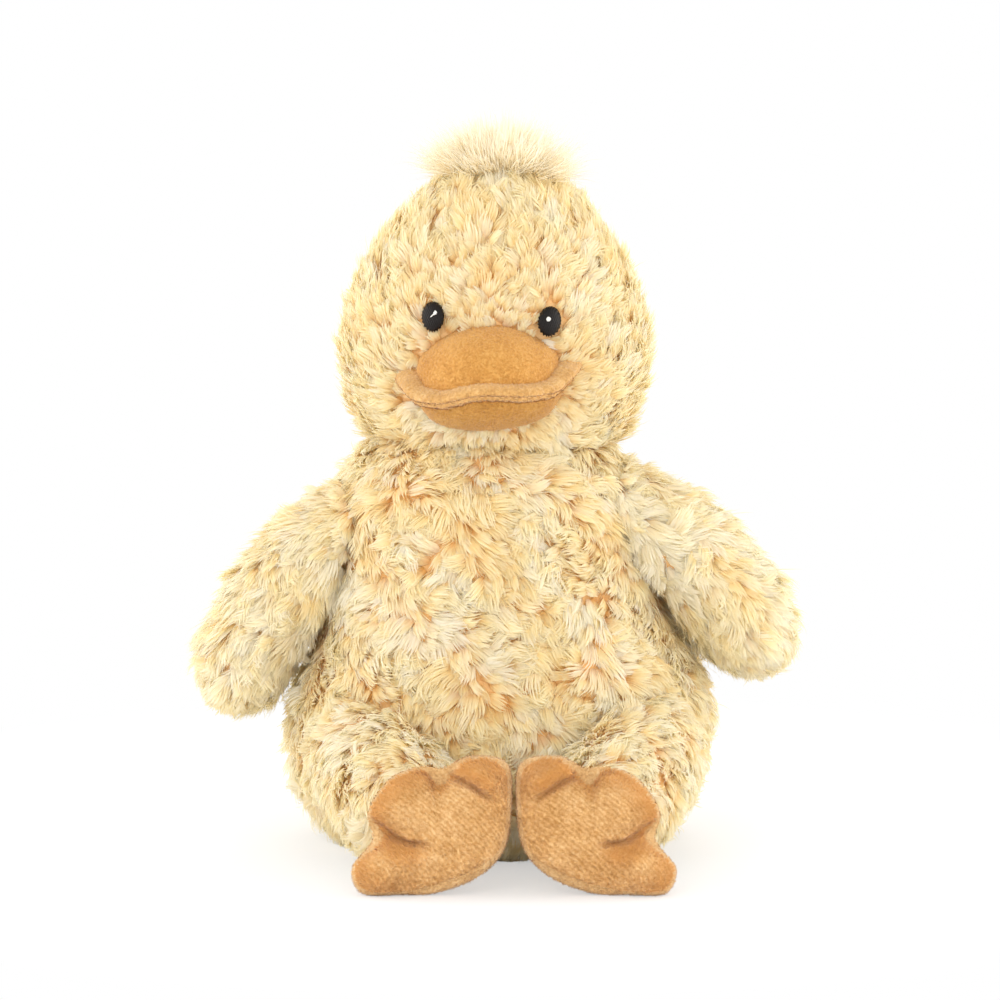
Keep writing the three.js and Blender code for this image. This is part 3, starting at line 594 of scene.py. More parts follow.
def fibres(roots, normals, flow, length, width, rise, fall, curl, tint, rng, count, thick=0.64,
           loose=0.07, arc=(0.05, 0.45)):
    """Locks of strands. Each lock is an arched petal that narrows to its root: a strand's place
    round the arch sets where it runs, how soon it ends and which way its ribbon faces. Returns
    points, faces, normals for shading, attributes and places on the bake's map."""
    n = len(roots)
    around = (np.arange(count)[None, :] + 0.5 + rng.uniform(-0.4, 0.4, (n, count))) / count
    around = arc[0] + (arc[1] - arc[0]) * around
    across, over = np.cos(around * 2 * math.pi), np.sin(around * 2 * math.pi)
    own = rng.uniform(0, 1, (n, count))
    lasts = (1 - 0.3 * across**2) * rng.uniform(0.64, 1.0, (n, count))
    s = STEPS[None, None, :] * lasts[..., None]
    jitter = lambda scale: rng.normal(0, scale, (n, count, 1))
    a = rise[:, None, None] + jitter(loose * 0.4)
    b = fall[:, None, None] + jitter(loose)
    c = np.clip(curl[:, None, None] + jitter(loose), -1.05, 1.05)
    forward, aside, up = fibre_path(s, a, b, c)
    f, z = flow[:, None, None, :], normals[:, None, None, :]
    g = np.cross(z, f)
    reach = length[:, None, None, None]
    spread = np.interp(s, [0, 0.2, 0.5, 0.8, 1], PETAL) * width[:, None, None] / 2
    crimp = 0.18 * np.sin(s * 9 + rng.uniform(0, 6.3, (n, 1, 1)) + jitter(0.5))
    crimp = crimp + 4 * loose * jitter(1.0) * s**2
    swing = c * s
    out = a - b * s
    side = -np.sin(swing)[..., None] * f + np.cos(swing)[..., None] * g
    ahead = np.cos(swing)[..., None] * f + np.sin(swing)[..., None] * g
    top = np.cos(out)[..., None] * z - np.sin(out)[..., None] * ahead
    roll = rng.normal(0, 0.28, (n, 1, 1, 1))
    side, top = np.cos(roll) * side + np.sin(roll) * top, np.cos(roll) * top - np.sin(roll) * side
    offset = across[..., None] * spread + crimp
    depth = FLATNESS * over[..., None] * spread + (own[..., None] - 0.5) * 0.25
    path = forward[..., None] * f + aside[..., None] * g + up[..., None] * z
    points = roots[:, None, None, :] + reach * path
    points = points + offset[..., None] * side + depth[..., None] * top
    lean = (np.arctan2(FLATNESS * across, over) + rng.normal(0, 0.15, (n, count)))[..., None, None]
    face = np.cos(lean) * top + np.sin(lean) * side
    broad = np.cos(lean) * side - np.sin(lean) * top
    shading = unit(face + 0.12 * z)
    half = thick / 2 * RIBBON[None, None, :, None]
    left, right = points - broad * half, points + broad * half
    total = n * count
    pair = np.stack([left[..., :-1, :], right[..., :-1, :]], axis=-2)
    pair = pair.reshape(total, 2 * RINGS - 2, 3)
    places = np.concatenate([pair, points[..., -1:, :].reshape(total, 1, 3)], axis=1)
    near = np.repeat(shading[..., :-1, :], 2, axis=-2).reshape(total, 2 * RINGS - 2, 3)
    shaded = np.concatenate([near, shading[..., -1:, :].reshape(total, 1, 3)], axis=1)
    step = np.concatenate([np.repeat(STEPS[:-1], 2), [1]])
    per = 2 * RINGS - 1
    marks = np.empty((total, per, 3))
    marks[..., 0] = step
    marks[..., 1] = np.repeat(tint, count)[:, None]
    marks[..., 2] = own.reshape(-1)[:, None]
    strand = np.empty((total, per, 3))
    strand[..., 0] = np.concatenate([np.tile([-0.5, 0.5], RINGS - 1), [0]]) * thick
    strand[..., 1] = own.reshape(-1)[:, None] * 90
    strand[..., 2] = step * 1.3
    first = np.arange(total)[:, None, None] * per
    ring = 2 * np.arange(RINGS - 2)[None, :, None]
    quads = (first + ring + np.array([0, 2, 3, 1])[None, None, :]).reshape(-1, 4)
    tips = (first[:, 0] + np.array([per - 3, per - 1, per - 2])).reshape(-1, 3)
    cell = strand_cells(total, np.concatenate([np.tile([0.1, 0.9], RINGS - 1), [0.5]]), step)
    cell[:, 1] = SHELL_MAP + (1 - SHELL_MAP) * cell[:, 1]
    return (places.reshape(-1, 3), quads, tips, shaded.reshape(-1, 3), marks.reshape(-1, 3),
            strand.reshape(-1, 3), cell)


def joined(first, second):
    """Two lots of strands as one, the second's places on the bake's map above the first's."""
    points = len(first[0])
    out = [np.concatenate(pair) for pair in zip(first, second)]
    out[1] = np.concatenate([first[1], second[1] + points])
    out[2] = np.concatenate([first[2], second[2] + points])
    share = len(first[0]) / len(out[0])
    low, high = first[-1].copy(), second[-1].copy()
    low[:, 1] = SHELL_MAP + (low[:, 1] - SHELL_MAP) * share
    high[:, 1] = SHELL_MAP + (1 - SHELL_MAP) * share + (high[:, 1] - SHELL_MAP) * (1 - share)
    out[-1] = np.concatenate([low, high])
    return out


def strand_cells(total, across, along):
    """A cell of the bake's map for each strand, in rows."""
    columns = int(math.ceil(math.sqrt(total * 2.2)))
    rows = int(math.ceil(total / columns))
    which = np.arange(total)
    corner = np.stack([(which % columns) / columns, (which // columns) / rows], axis=1)
    size = np.array([1 / columns, 1 / rows])
    cell = corner[:, None, :] + np.stack([across, 0.04 + 0.92 * along], axis=1)[None] * size
    return cell.reshape(-1, 2)


def backing(form, angles, alongs, settle):
    """A shell of cloth under the pile: the form's surface set in by the backing's depth, and an
    inner face behind it, closed round its edge. settle moves its points clear of neighbours."""
    angle, along = np.meshgrid(angles, alongs)
    place, normal, _ = form.frame(angle, along)
    outer = settle(place - BACKING_DEPTH * normal)
    inner = settle(place - (BACKING_DEPTH + CLOTH) * normal) - 0.3 * CLOTH * normal
    rows, columns = angle.shape
    points = np.concatenate([outer.reshape(-1, 3), inner.reshape(-1, 3)])
    quads = grid_faces(rows, columns)
    edge = np.concatenate([np.arange(columns), np.arange(1, rows) * columns + columns - 1,
                           (rows - 1) * columns + np.arange(columns - 2, -1, -1),
                           np.arange(rows - 2, 0, -1) * columns])
    after = np.roll(edge, -1)
    wall = np.stack([edge, edge + rows * columns, after + rows * columns, after], axis=1)
    faces = np.concatenate([quads, quads[:, ::-1] + rows * columns, wall])[:, ::form.hand]
    u = (angle - angle.min()) / np.ptp(angle) * 0.48
    v = (along - along.min()) / np.ptp(along) * 0.13
    cell = np.concatenate([np.stack([k, v], -1).reshape(-1, 2) for k in (u, u + 0.5)])
    return points, faces, np.concatenate([normal.reshape(-1, 3), -normal.reshape(-1, 3)]), cell


def seeded(name):
    """Random numbers that are the same at each run, by a piece's name."""
    return np.random.default_rng(sum(ord(c) * (i + 1) for i, c in enumerate(name)))


def plush(name, node, body, form, sector, alongs, comb, keep, settle, flat, spacing=3.3, grid=36,
          rows=44, paleness=0.5):
    """One sewn panel of shaggy cloth: its backing and its pile, as one piece. Where flat is 1 the
    pile is thinner and lies down, because another part of the toy rests on it."""
    rng = seeded(name)
    sector = np.radians(sector)
    shell, shell_faces, shell_normals, shell_cell = backing(
        form, np.linspace(*sector, grid), np.linspace(*alongs, rows), settle)
    angle, along = lock_places(form, spacing, *alongs, rng)
    middle = (sector[0] + sector[1]) / 2
    turn = (angle - middle + math.pi) % (2 * math.pi) - math.pi
    chosen = np.abs(turn) < (sector[1] - sector[0]) / 2
    angle, along = angle[chosen], along[chosen]
    place, normal, up = form.frame(angle, along)
    chosen = keep(place, normal)
    place, normal, up = place[chosen], normal[chosen], up[chosen]
    chosen = rng.uniform(0, 1, len(place)) > THINNED * flat(place)
    place, normal, up = place[chosen], normal[chosen], up[chosen]
    flow, data = comb(place, normal, up, rng)
    flow = unit(flow - (flow * normal).sum(-1, keepdims=True) * normal)
    roots = place - ROOT_DEPTH * normal
    low = flat(place)
    roots = np.where(low[:, None] > 0.5, settle(roots), roots)
    for key, share in LAID_DOWN.items():
        data[key] = data[key] * (1 - share * low)
    lock = paleness + 0.24 * ripple(place, 26, 5) + rng.normal(0, 0.17, len(place))
    lay = (data["rise"], data["fall"], data["curl"], np.clip(lock, 0, 1), rng)
    petals = fibres(roots, normal, flow, data["length"], data["width"], *lay, LOCK_STRANDS)
    wisps = fibres(roots, normal, flow, data["length"] * WISP_SIZE[0],
                   data["width"] * WISP_SIZE[1], *lay, WISPS, thick=0.34, loose=0.26, arc=(0, 1))
    points, quads, tips, shaded, marks, strand, cell = joined(petals, wisps)
    base = len(shell)
    points = on_floor(points, 0.3)
    piece = add_piece(name, np.concatenate([shell, points]),
                      [shell_faces, quads + base, tips + base], [CREAM_PILE, PLUSH_BACKING], body)
    slots = np.zeros(len(piece.data.polygons), np.int32)
    slots[:len(shell_faces)] = 1
    piece.data.polygons.foreach_set("material_index", slots)
    set_attribute(piece, "fibre", "FLOAT_VECTOR", np.concatenate([np.zeros((base, 3)), marks]))
    set_attribute(piece, "strand", "FLOAT_VECTOR", np.concatenate([np.zeros((base, 3)), strand]))
    set_map(piece, "OFBake", np.concatenate([shell_cell, cell]))
    piece.data.normals_split_custom_set_from_vertices(np.concatenate([shell_normals, shaded]))
    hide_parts(node)
    return piece


def combed(base, swirl, wavelength, length, width, rise, fall, curl, seed):
    """How locks lie: along a base direction, turned by a soft random field."""

    def comb(place, normal, up, rng):
        """The base direction laid on the surface and turned, and each lock's own sizes, which
        vary by soft fields and at random."""
        n = len(place)
        away = base(place, normal, up)
        away = unit(away - (away * normal).sum(-1, keepdims=True) * normal)
        turn = swirl * ripple(place, wavelength, seed)
        turn = turn + 0.6 * ripple(place, wavelength / 2.4, seed + 3)
        turn = turn + rng.normal(0, 0.3, n)
        aside = np.cross(normal, away)
        flow = np.cos(turn)[:, None] * away + np.sin(turn)[:, None] * aside
        size = 1 + 0.18 * ripple(place, 17, seed + 1)
        data = {
            "length": length(place) * size * rng.uniform(0.8, 1.15, n),
            "width": width * size * rng.uniform(0.7, 1.35, n),
            "rise": np.radians(rise + rng.normal(0, 9, n)),
            "fall": np.radians(fall + rng.normal(0, 10, n)),
            "curl": np.clip(curl * ripple(place, 11, seed + 2) + rng.normal(0, 0.25, n), -0.9, 0.9),
        }
        return flow, data

    return comb


NECK_CENTRE = seen(TORSO, np.array([0, 0, NECK_HEIGHT]))


def off_ball(points, gap):
    """Points inside the neck's ball are moved straight out of it."""
    away = points - NECK_CENTRE
    far = np.linalg.norm(away, axis=-1, keepdims=True)
    limit = NECK_RADIUS + gap
    return np.where(far < limit, NECK_CENTRE + away / np.maximum(far, 1e-6) * limit, points)


def on_floor(points, least=0.6):
    """Points, none of them lower than the least height."""
    return np.stack([points[..., 0], points[..., 1], np.maximum(points[..., 2], least)], -1)


HEAD_MIDDLE = np.array([0, 0, 90.0])
HEAD_REACH = 62.0
SEAT_PILE = 1.5  # the lowest that locks are rooted at
DEEPEST = {"head": 19, "tail": 6, "wing": 17, "leg": 12}  # in each, the body's deepest locks


def body_kept(place, normal):
    """The body has no locks under the seat nor deep under the head, the limbs and the tail."""
    near_head = np.linalg.norm(place - seen(HEAD_PLACE, HEAD_MIDDLE), axis=1) < HEAD_REACH
    cut = (HEAD.depth(place) > DEEPEST["head"]) & near_head | (place[:, 2] < SEAT_PILE)
    cut |= TAIL.depth(place) > DEEPEST["tail"]
    for side in SIDES:
        cut |= WINGS[side].depth(place) > DEEPEST["wing"]
        cut |= LEGS[side].depth(place) > DEEPEST["leg"]
    return ~cut


def off_hinge(side, place):
    """Rises from 0 to 1 with the distance from the line that a wing turns about."""
    hinge = seen(TORSO, np.array(wing_hinge(SIDES[side])))
    return eased(np.linalg.norm((place - hinge)[:, [0, 2]], axis=1), 8, 16)


def body_flat(place):
    """Pile lies down where the head, a wing or a leg rests on it, but stands at a wing's hinge."""
    low = eased(HEAD.depth(place), 8, 13)
    for side in SIDES:
        low = np.maximum(low, eased(WINGS[side].depth(place), -4, 1) * off_hinge(side, place))
        low = np.maximum(low, eased(LEGS[side].depth(place), -3, 2))
    return low


def steady(value):
    """The same value at each place."""
    return lambda place: np.full(len(place), float(value))


def body_length(place):
    """Locks get shorter up to the neck."""
    return 11.5 - 2.5 * eased(place[:, 2], 135, 160)


DOWN = np.array([0, 0, -1.0])
BODY_COMB = combed(lambda place, normal, up: -up + 0.2 * DOWN, swirl=1.4, wavelength=34,
                   length=body_length, width=5.4, rise=38, fall=58, curl=0.4, seed=11)
for name, low in (("front_left", -90.0), ("front_right", 180.0), ("back_left", 0.0),
                  ("back_right", 90.0)):
    plush(f"body_{name}_plush", f"body_{name}_panel", "torso", BODY, (low, low + 90), (0.17, 0.97),
          BODY_COMB, body_kept, on_floor, body_flat, paleness=0.57)

# Head
BILL_MIDDLE = np.array([0, -45.0, 74.0])
BILL_CLEARING = ((0, 70), (27, 16))  # middle and half size, in x and z
EYE_CLEARINGS = [((sign * 20.75, 89.4), (4.8, 6.4)) for sign in (-1, 1)]


def head_kept(place, normal):
    """The head has no locks on its hollow underside, nor in the ovals under the bill and eyes."""
    local = seen(FROM_HEAD, place)
    cut = np.linalg.norm(local, axis=1) < NECK_RADIUS - 1
    for (x, z), half in (BILL_CLEARING, *EYE_CLEARINGS):
        oval_reach = ((local[:, 0] - x) / half[0]) ** 2 + ((local[:, 2] - z) / half[1]) ** 2
        cut |= (local[:, 1] < 0) & (oval_reach < 1)
    return ~cut


def head_base(place, normal, up):
    """Away from the bill over the face and up to the crown behind it, and down under the bill."""
    local = seen(FROM_HEAD, place)
    rise = HEAD_PLACE[:3, 2]
    from_bill = unit(place - seen(HEAD_PLACE, BILL_MIDDLE))
    near = (1 - eased(np.linalg.norm(local - BILL_MIDDLE, axis=1), 25, 60))[:, None]
    return rise * (1 - near) + from_bill * near * 1.4 + rise * 0.3


def head_length(place):
    """Locks get longer away from the bill."""
    bill = np.linalg.norm(seen(FROM_HEAD, place) - BILL_MIDDLE, axis=1)
    return 7.0 + 3.5 * eased(bill, 18, 45)


HEAD_COMB = combed(head_base, swirl=0.5, wavelength=26, length=head_length, width=4.9, rise=36,
                   fall=44, curl=0.3, seed=31)
for name, low in (("left", -90.0), ("right", 90.0)):
    plush(f"head_{name}_plush", f"head_{name}_panel", "head", HEAD, (low, low + 180), (0.06, 0.985),
          HEAD_COMB, head_kept, lambda p: off_ball(p, CLEAR), steady(0), spacing=3.0, grid=64)


def kept_off_body(most):
    """Locks are kept where they lie no deeper in the body than the most."""
    return lambda place, normal: BODY.depth(place) < most


# Wings and legs
for side, sign in SIDES.items():
    wing = WINGS[side]

    def wing_flat(place):
        """Pile lies down where the wing rests on the body, but stands at its hinge."""
        return eased(BODY.depth(place), -3, 1) * off_hinge(side, place)

    def wing_length(place):
        """Locks get shorter round the wing's tip and at its hinge."""
        at_tip = 1 - eased(np.linalg.norm(place - tip, axis=1), 8, 36)
        return (12.5 - 4.5 * at_tip) * (1 - 0.3 * (1 - off_hinge(side, place)))

    tip = wing.at(np.zeros(1), np.ones(1))
    comb = combed(lambda place, normal, up: up, swirl=0.5, wavelength=30, length=wing_length,
                  width=4.9, rise=34, fall=44, curl=0.3, seed=51 + sign)
    plush(f"{side}_wing_plush", f"{side}_wing_cover", f"{side}_wing", wing, (0, 360.0),
          (0.03, 0.995), comb, kept_off_body(14), lambda p: BODY.pressed(p, CLEAR), wing_flat,
          spacing=3.1, grid=72, paleness=0.76)

    def leg_kept(place, normal):
        """A thigh has no locks inside the body, nor where the foot is."""
        return (BODY.depth(place) < 8) & (place[:, 1] > -96)

    def leg_flat(place):
        """Pile lies down where the thigh rests on the body or on the floor."""
        return np.maximum(eased(BODY.depth(place), -3, 1), 1 - eased(place[:, 2], 1.5, 6))

    hang = np.array([0.6 * sign, -0.2, -0.7])
    comb = combed(lambda place, normal, up: hang + 0 * up, swirl=1.1, wavelength=30,
                  length=steady(10), width=5.0, rise=40, fall=54, curl=0.35, seed=71 + sign)
    plush(f"{side}_leg_plush", f"{side}_leg_cover", f"{side}_leg", LEGS[side], (0, 360.0),
          (0.05, 0.93), comb, leg_kept, lambda p: on_floor(BODY.pressed(p, CLEAR)), leg_flat,
          spacing=3.1, grid=60, paleness=0.7)

TAIL_COMB = combed(lambda place, normal, up: 0.4 * up + DOWN, swirl=0.5, wavelength=30,
                   length=steady(10), width=4.8, rise=36, fall=46, curl=0.4, seed=91)
plush("tail_plush", "tail_cover", "torso", TAIL, (0, 360.0), (0.03, 0.99), TAIL_COMB,
      kept_off_body(1.5), lambda p: BODY.pressed(p, CLEAR), steady(0), spacing=3.2, grid=48,
      rows=24)


def rounded(name, rings, material, body):
    """A closed piece from rings of points, the first and the last of which are single points. Its
    faces are turned round where the volume that they enclose comes out less than 0."""
    rows, columns = rings.shape[0] - 2, rings.shape[1]
    points = np.concatenate([rings[0, :1], rings[1:-1].reshape(-1, 3), rings[-1, :1]])
    quads = grid_faces(rows, columns, closed=True) + 1
    i = np.arange(columns)
    after = (i + 1) % columns
    first = np.stack([np.zeros_like(i), 1 + after, 1 + i], axis=1)
    last = 1 + (rows - 1) * columns
    final = np.stack([np.full_like(i, len(points) - 1), last + i, last + after], axis=1)
    a, b, c = (points[quads[:, k]] for k in range(3))
    volume = (np.cross(a, b) * c).sum() + (np.cross(a, c) * points[quads[:, 3]]).sum()
    for fan in (first, final):
        volume += (np.cross(points[fan[:, 0]], points[fan[:, 1]]) * points[fan[:, 2]]).sum()
    flip = 1 if volume > 0 else -1
    return add_piece(name, points, [faces[:, ::flip] for faces in (quads, first, final)], material,
                     body)


BLADE = 0.28  # width of a fibre of the short pile


def velour_material(name, dark, middle, light, edge=(222, 158, 84), rows=0.0, specks=1.1):
    """Short velvety nap: soft patches, specks a little wider than its fibres, slanting rows, and a
    deeper colour where the edge attribute is high, which is painted shade at the sole's rims and
    creases."""
    paint = Paint(name, 0.9, sheen_weight=0.25, sheen_roughness=0.5)
    where = paint.place()
    soft = paint.noise(where, 0.09, 3.0, 0.55, 0.6)
    fine = paint.noise(where, specks, 2.0, 0.6)
    slant = paint.out(paint.node("ShaderNodeTexWave", {"bands_direction": "DIAGONAL"}, Vector=where,
                                 Scale=0.27, Distortion=5.0, Detail=2.0, Detail_Scale=1.4), "Fac")
    mix = soft * 0.4 + fine * (0.6 - rows) + slant * rows
    color = paint.ramp(mix, (0.34, linear(*dark)), (0.5, linear(*middle)), (0.66, linear(*light)))
    # Painted shade: the edge colour is mixed in by the edge attribute, along the sole's rims and
    # creases
    color = paint.mixed(paint.attribute("edge", "Fac"), color, tinted(*edge))
    paint.set("Base Color", color)
    paint.bump(fine * (1 - rows) + slant * rows, 0.6, 0.9)
    return paint.material


def nap(name, grid, material, body, lay, way=1, density=6.0, length=1.1, edge=None):
    """Short pile on a velour surface, given as a grid of points: each fibre is a small blade that
    leans along lay, rooted at an even random spread by area, and shaded a little off the surface's
    own normal."""
    rng = seeded(name)
    corners = grid[:-1, :-1], grid[:-1, 1:], grid[1:, :-1], grid[1:, 1:]
    normal = np.cross(corners[3] - corners[0], corners[2] - corners[1])
    area = np.linalg.norm(normal, axis=-1) / 2
    count = int(area.sum() * density)
    pick = rng.choice(area.size, count, p=(area / area.sum()).ravel())
    u, v = rng.uniform(0, 1, (2, count, 1))
    a, b, c, d = (corner.reshape(-1, 3)[pick] for corner in corners)
    root = (a * (1 - u) + b * u) * (1 - v) + (c * (1 - u) + d * u) * v
    up = way * unit(normal.reshape(-1, 3)[pick])
    along = lay(root, up) + rng.normal(0, 0.35, (count, 3))
    along = unit(along - (along * up).sum(-1, keepdims=True) * up)
    side = np.cross(up, along) * BLADE / 2
    tall = length * rng.uniform(0.7, 1.15, (count, 1))
    if edge is not None:
        tall = tall * (1 + 0.7 * edge(root)[:, None])
    lean = np.radians(rng.normal(42, 10, (count, 1)))
    root = root - 0.15 * up
    middle = root + tall * 0.5 * (np.sin(lean) * up + np.cos(lean) * along)
    tip = middle + tall * 0.5 * (np.sin(0.6 * lean) * up + np.cos(0.6 * lean) * along)
    points = np.stack([root - side, root + side, middle - 0.9 * side, middle + 0.9 * side, tip], 1)
    shading = unit(up - 0.25 * along + 0.12 * rng.normal(0, 1, (count, 3)))
    first = np.arange(count)[:, None] * 5
    piece = add_piece(name, on_floor(points.reshape(-1, 3), 0.1),
                      [first + np.array([0, 2, 3, 1]), first + np.array([2, 4, 3])], material, body)
    set_map(piece, "OFBake", strand_cells(count, np.array([0.1, 0.9, 0.15, 0.85, 0.5]),
                                          np.array([0, 0, 0.5, 0.5, 1.0])))
    if edge is not None:
        # the edge attribute carries painted shade, which the material mixes in; it also lengthens
        # the fibres there
        set_attribute(piece, "edge", "FLOAT", np.repeat(edge(root), 5))
    piece.data.normals_split_custom_set_from_vertices(np.repeat(shading, 5, axis=0))
    return piece


BILL_VELOUR = velour_material("bill_velour", (188, 128, 52), (210, 151, 71), (226, 174, 96))
LIP_VELOUR = velour_material("lip_velour", (190, 140, 76), (211, 162, 95), (228, 188, 126))
POUCH_VELOUR = velour_material("pouch_velour", (180, 122, 50), (201, 145, 65), (216, 164, 86))
# the sole's edge colour is painted shade, laid on its rims and creases
SOLE_VELOUR = velour_material("sole_velour", (188, 136, 72), (216, 168, 106), (238, 200, 144),
                              edge=(212, 148, 74), rows=0.1, specks=0.8)
INSTEP_VELOUR = velour_material("instep_velour", (198, 150, 92), (218, 176, 118), (230, 194, 142))


def darker(color, share):
    """A colour's own share and the colour itself, for the stops of a ramp."""
    return tuple(share * c for c in linear(*color)), linear(*color)


def thread_material(name, color, shine):
    """Twisted thread: fine strands, darker between them."""
    return grained(name, shine, 2.4, darker(color, 0.7), (0.1, 0.5), 2.0, 0.5,
                   specular_ior_level=0.22)


BLACK_THREAD = thread_material("black_thread", (20, 13, 9), 0.5)
WHITE_THREAD = thread_material("white_thread", (250, 248, 240), 0.5)
TOP_THREAD = thread_material("topstitch_thread", (232, 186, 124), 0.6)
SEAM_THREAD = thread_material("neck_thread", (233, 213, 164), 0.8)


def inner_material(name, color, scale, depth):
    """Filling or lining, which the covers hide."""
    return grained(name, 0.95, scale, darker(color, 0.85), (depth, 0.6))


FIBRE_FILL = inner_material("fibre_fill", (247, 246, 242), 0.5, 1.0)
PELLET_CLOTH = inner_material("pellet_cloth", (230, 227, 218), 0.8, 0.5)

# Bill, in its own frame: the mouth line waves round it
BILL_TILT = -6
BILL_PLACE = HEAD_PLACE @ shifted(0, -38, 66) @ turned("y", BILL_TILT)
UPPER = (25.5, 28.0, 22.0)  # half width, depth and height of the upper dome
LOWER = (26.5, 26.0, 16.2)
LIP = 33.0  # from the mouth's middle to the roll's edge
LIP_SECTION = (6.6, 3.3)  # half width and half height of the roll
LIP_END = math.radians(101)  # how far round the mouth the roll goes
MOUTH_GAP = 3.0
TUCK = math.radians(-30)  # how far a dome's front goes on under its widest line
SUNK = 3.2  # how deep what is sewn to the head lies in its pile


def face_depth(x, z):
    """Where the head's surface is in front of its axis: the root of its radius squared less x
    squared, squashed."""
    depth = np.sqrt(np.maximum(HEAD.radius(z) ** 2 - x**2, 0))
    return -HEAD_HALF[1] / HEAD_HALF[0] * depth


def seated(points):
    """Points of the bill in the toy's frame, those behind the face's cloth moved straight forward
    onto it."""
    p = seen(FROM_HEAD, seen(BILL_PLACE, points))
    p[..., 1] = np.minimum(p[..., 1], face_depth(p[..., 0], p[..., 2]) + SUNK)
    return seen(HEAD_PLACE, p)


def mouth_lift(turn, corners=4.0):
    """The mouth line's height: a cosine that is high in the middle and low at each side of it,
    eased into a lift at the corners."""
    corner = eased(np.abs(turn), math.pi / 4, math.pi / 2)
    return (1 - corner) * 1.1 * np.cos(4 * turn) + corner * corners


def fuller(value, power):
    """A value's size to a power, with its own sign."""
    return np.sign(value) * np.abs(value) ** power


def half_dome(size, sign, fullness, corners, rows=96, columns=80):
    """The front half of a dome over the mouth line: rings from corner to corner, each going over
    the dome from front to back, down the back and forward along the base. Its numbers are the
    cosines and sines of an ellipsoid to the power of fullness. The front edge tucks under, behind
    the lip."""
    beta = np.linspace(-math.pi / 2, math.pi / 2, rows)[:, None]
    arc, back = DOME_ARC, (columns - DOME_ARC) // 2
    alpha = np.concatenate([np.linspace(TUCK, math.pi / 2, arc), np.full(back, math.pi / 2),
                            np.full(columns - arc - back, TUCK)])
    share = np.concatenate([np.ones(arc), np.linspace(1, 0, back + 1)[1:],
                            np.linspace(0, 1, columns - arc - back + 1)[:-1]])
    ring = fuller(np.cos(beta), fullness) * share[None, :]
    height = np.where(alpha > 0, size[2] - MOUTH_GAP, MOUTH_GAP - 0.4)
    x = np.broadcast_to(size[0] * np.sin(beta), ring.shape)
    y = -size[1] * ring * fuller(np.cos(alpha), fullness)[None, :]
    z = height[None, :] * ring * fuller(np.sin(alpha), fullness)[None, :] + MOUTH_GAP
    wave = mouth_lift(beta, corners) * (1 - 0.8 * ring * np.maximum(np.sin(alpha), 0)[None, :])
    return np.stack([x, y, sign * z + wave], -1)


def bill_piece(name, node, rings, material):
    """A stuffed piece of the bill, seated on the head."""
    piece = rounded(name, seated(rings), material, "head")
    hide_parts(node)


DOME_ARC = 56  # columns of a dome's rings that lie over its front
upper = half_dome(UPPER, 1, fullness=0.9, corners=2.0)
pouch = half_dome(LOWER, -1, fullness=1.08, corners=4.0)
bill_piece("bill_upper", "bill_upper_cover", upper, BILL_VELOUR)
bill_piece("bill_pouch", "bill_lower_pouch", pouch, POUCH_VELOUR)
BILL_BACK = HEAD_PLACE[:3, :3] @ np.array([0.0, 1.0, 0.4])  # which way the bill's nap lies
for name, rings, paint, way in (("bill_upper_nap", upper, BILL_VELOUR, -1),
                                ("bill_pouch_nap", pouch, POUCH_VELOUR, 1)):
    nap(name, seated(rings[6:-6, :DOME_ARC - 6]), paint, "head", lambda p, up: BILL_BACK + 0 * p,
        way)

# Lip: a rolled edge along the mouth line, drawn in along a row of topstitching
STITCH_TURN = math.radians(-24)  # round the roll, from straight out


def lip_path(turn, section, out=0.0):
    """A place on the roll: turn goes round the mouth, section round the roll's oval. Its size has
    rounded ends, soft puckers and a groove along the stitches."""
    reach = LIP - LIP_SECTION[0]
    ends = np.sqrt(np.clip((LIP_END - np.abs(turn)) / math.radians(9), 0, 1))
    groove = bell(section - STITCH_TURN, 1.2, 0.2)
    round_mouth = np.stack([LIP * np.sin(turn), LIP * np.cos(turn), 2 * np.sin(section)], -1)
    pucker = 0.4 * ripple(round_mouth, 7, 3) + 0.14 * np.cos(turn * 78)
    grow = ends * (1 + (out + pucker - groove) / LIP_SECTION[0])
    r = reach + LIP_SECTION[0] * grow * np.cos(section)
    z = LIP_SECTION[1] * grow * np.sin(section) + 0.5 * ripple(round_mouth * (1, 1, 0), 17, 4)
    return np.stack([r * np.sin(turn), -r * np.cos(turn), z + mouth_lift(turn)], -1)


turn, section = np.meshgrid(np.radians(np.linspace(-101, 101, 260)),
                            np.linspace(-math.pi, math.pi, 48, endpoint=False), indexing="ij")
bill_piece("bill_lip_roll", "bill_lip", lip_path(turn, section), LIP_VELOUR)
turn, section = np.meshgrid(np.radians(np.linspace(-100, 100, 260)), np.linspace(-1.5, 2.2, 30),
                            indexing="ij")
nap("bill_lip_nap", seated(lip_path(turn, section)), LIP_VELOUR, "head",
    lambda p, up: np.cross(up, HEAD_PLACE[:3, 0]), -1, density=4.0, length=0.9)


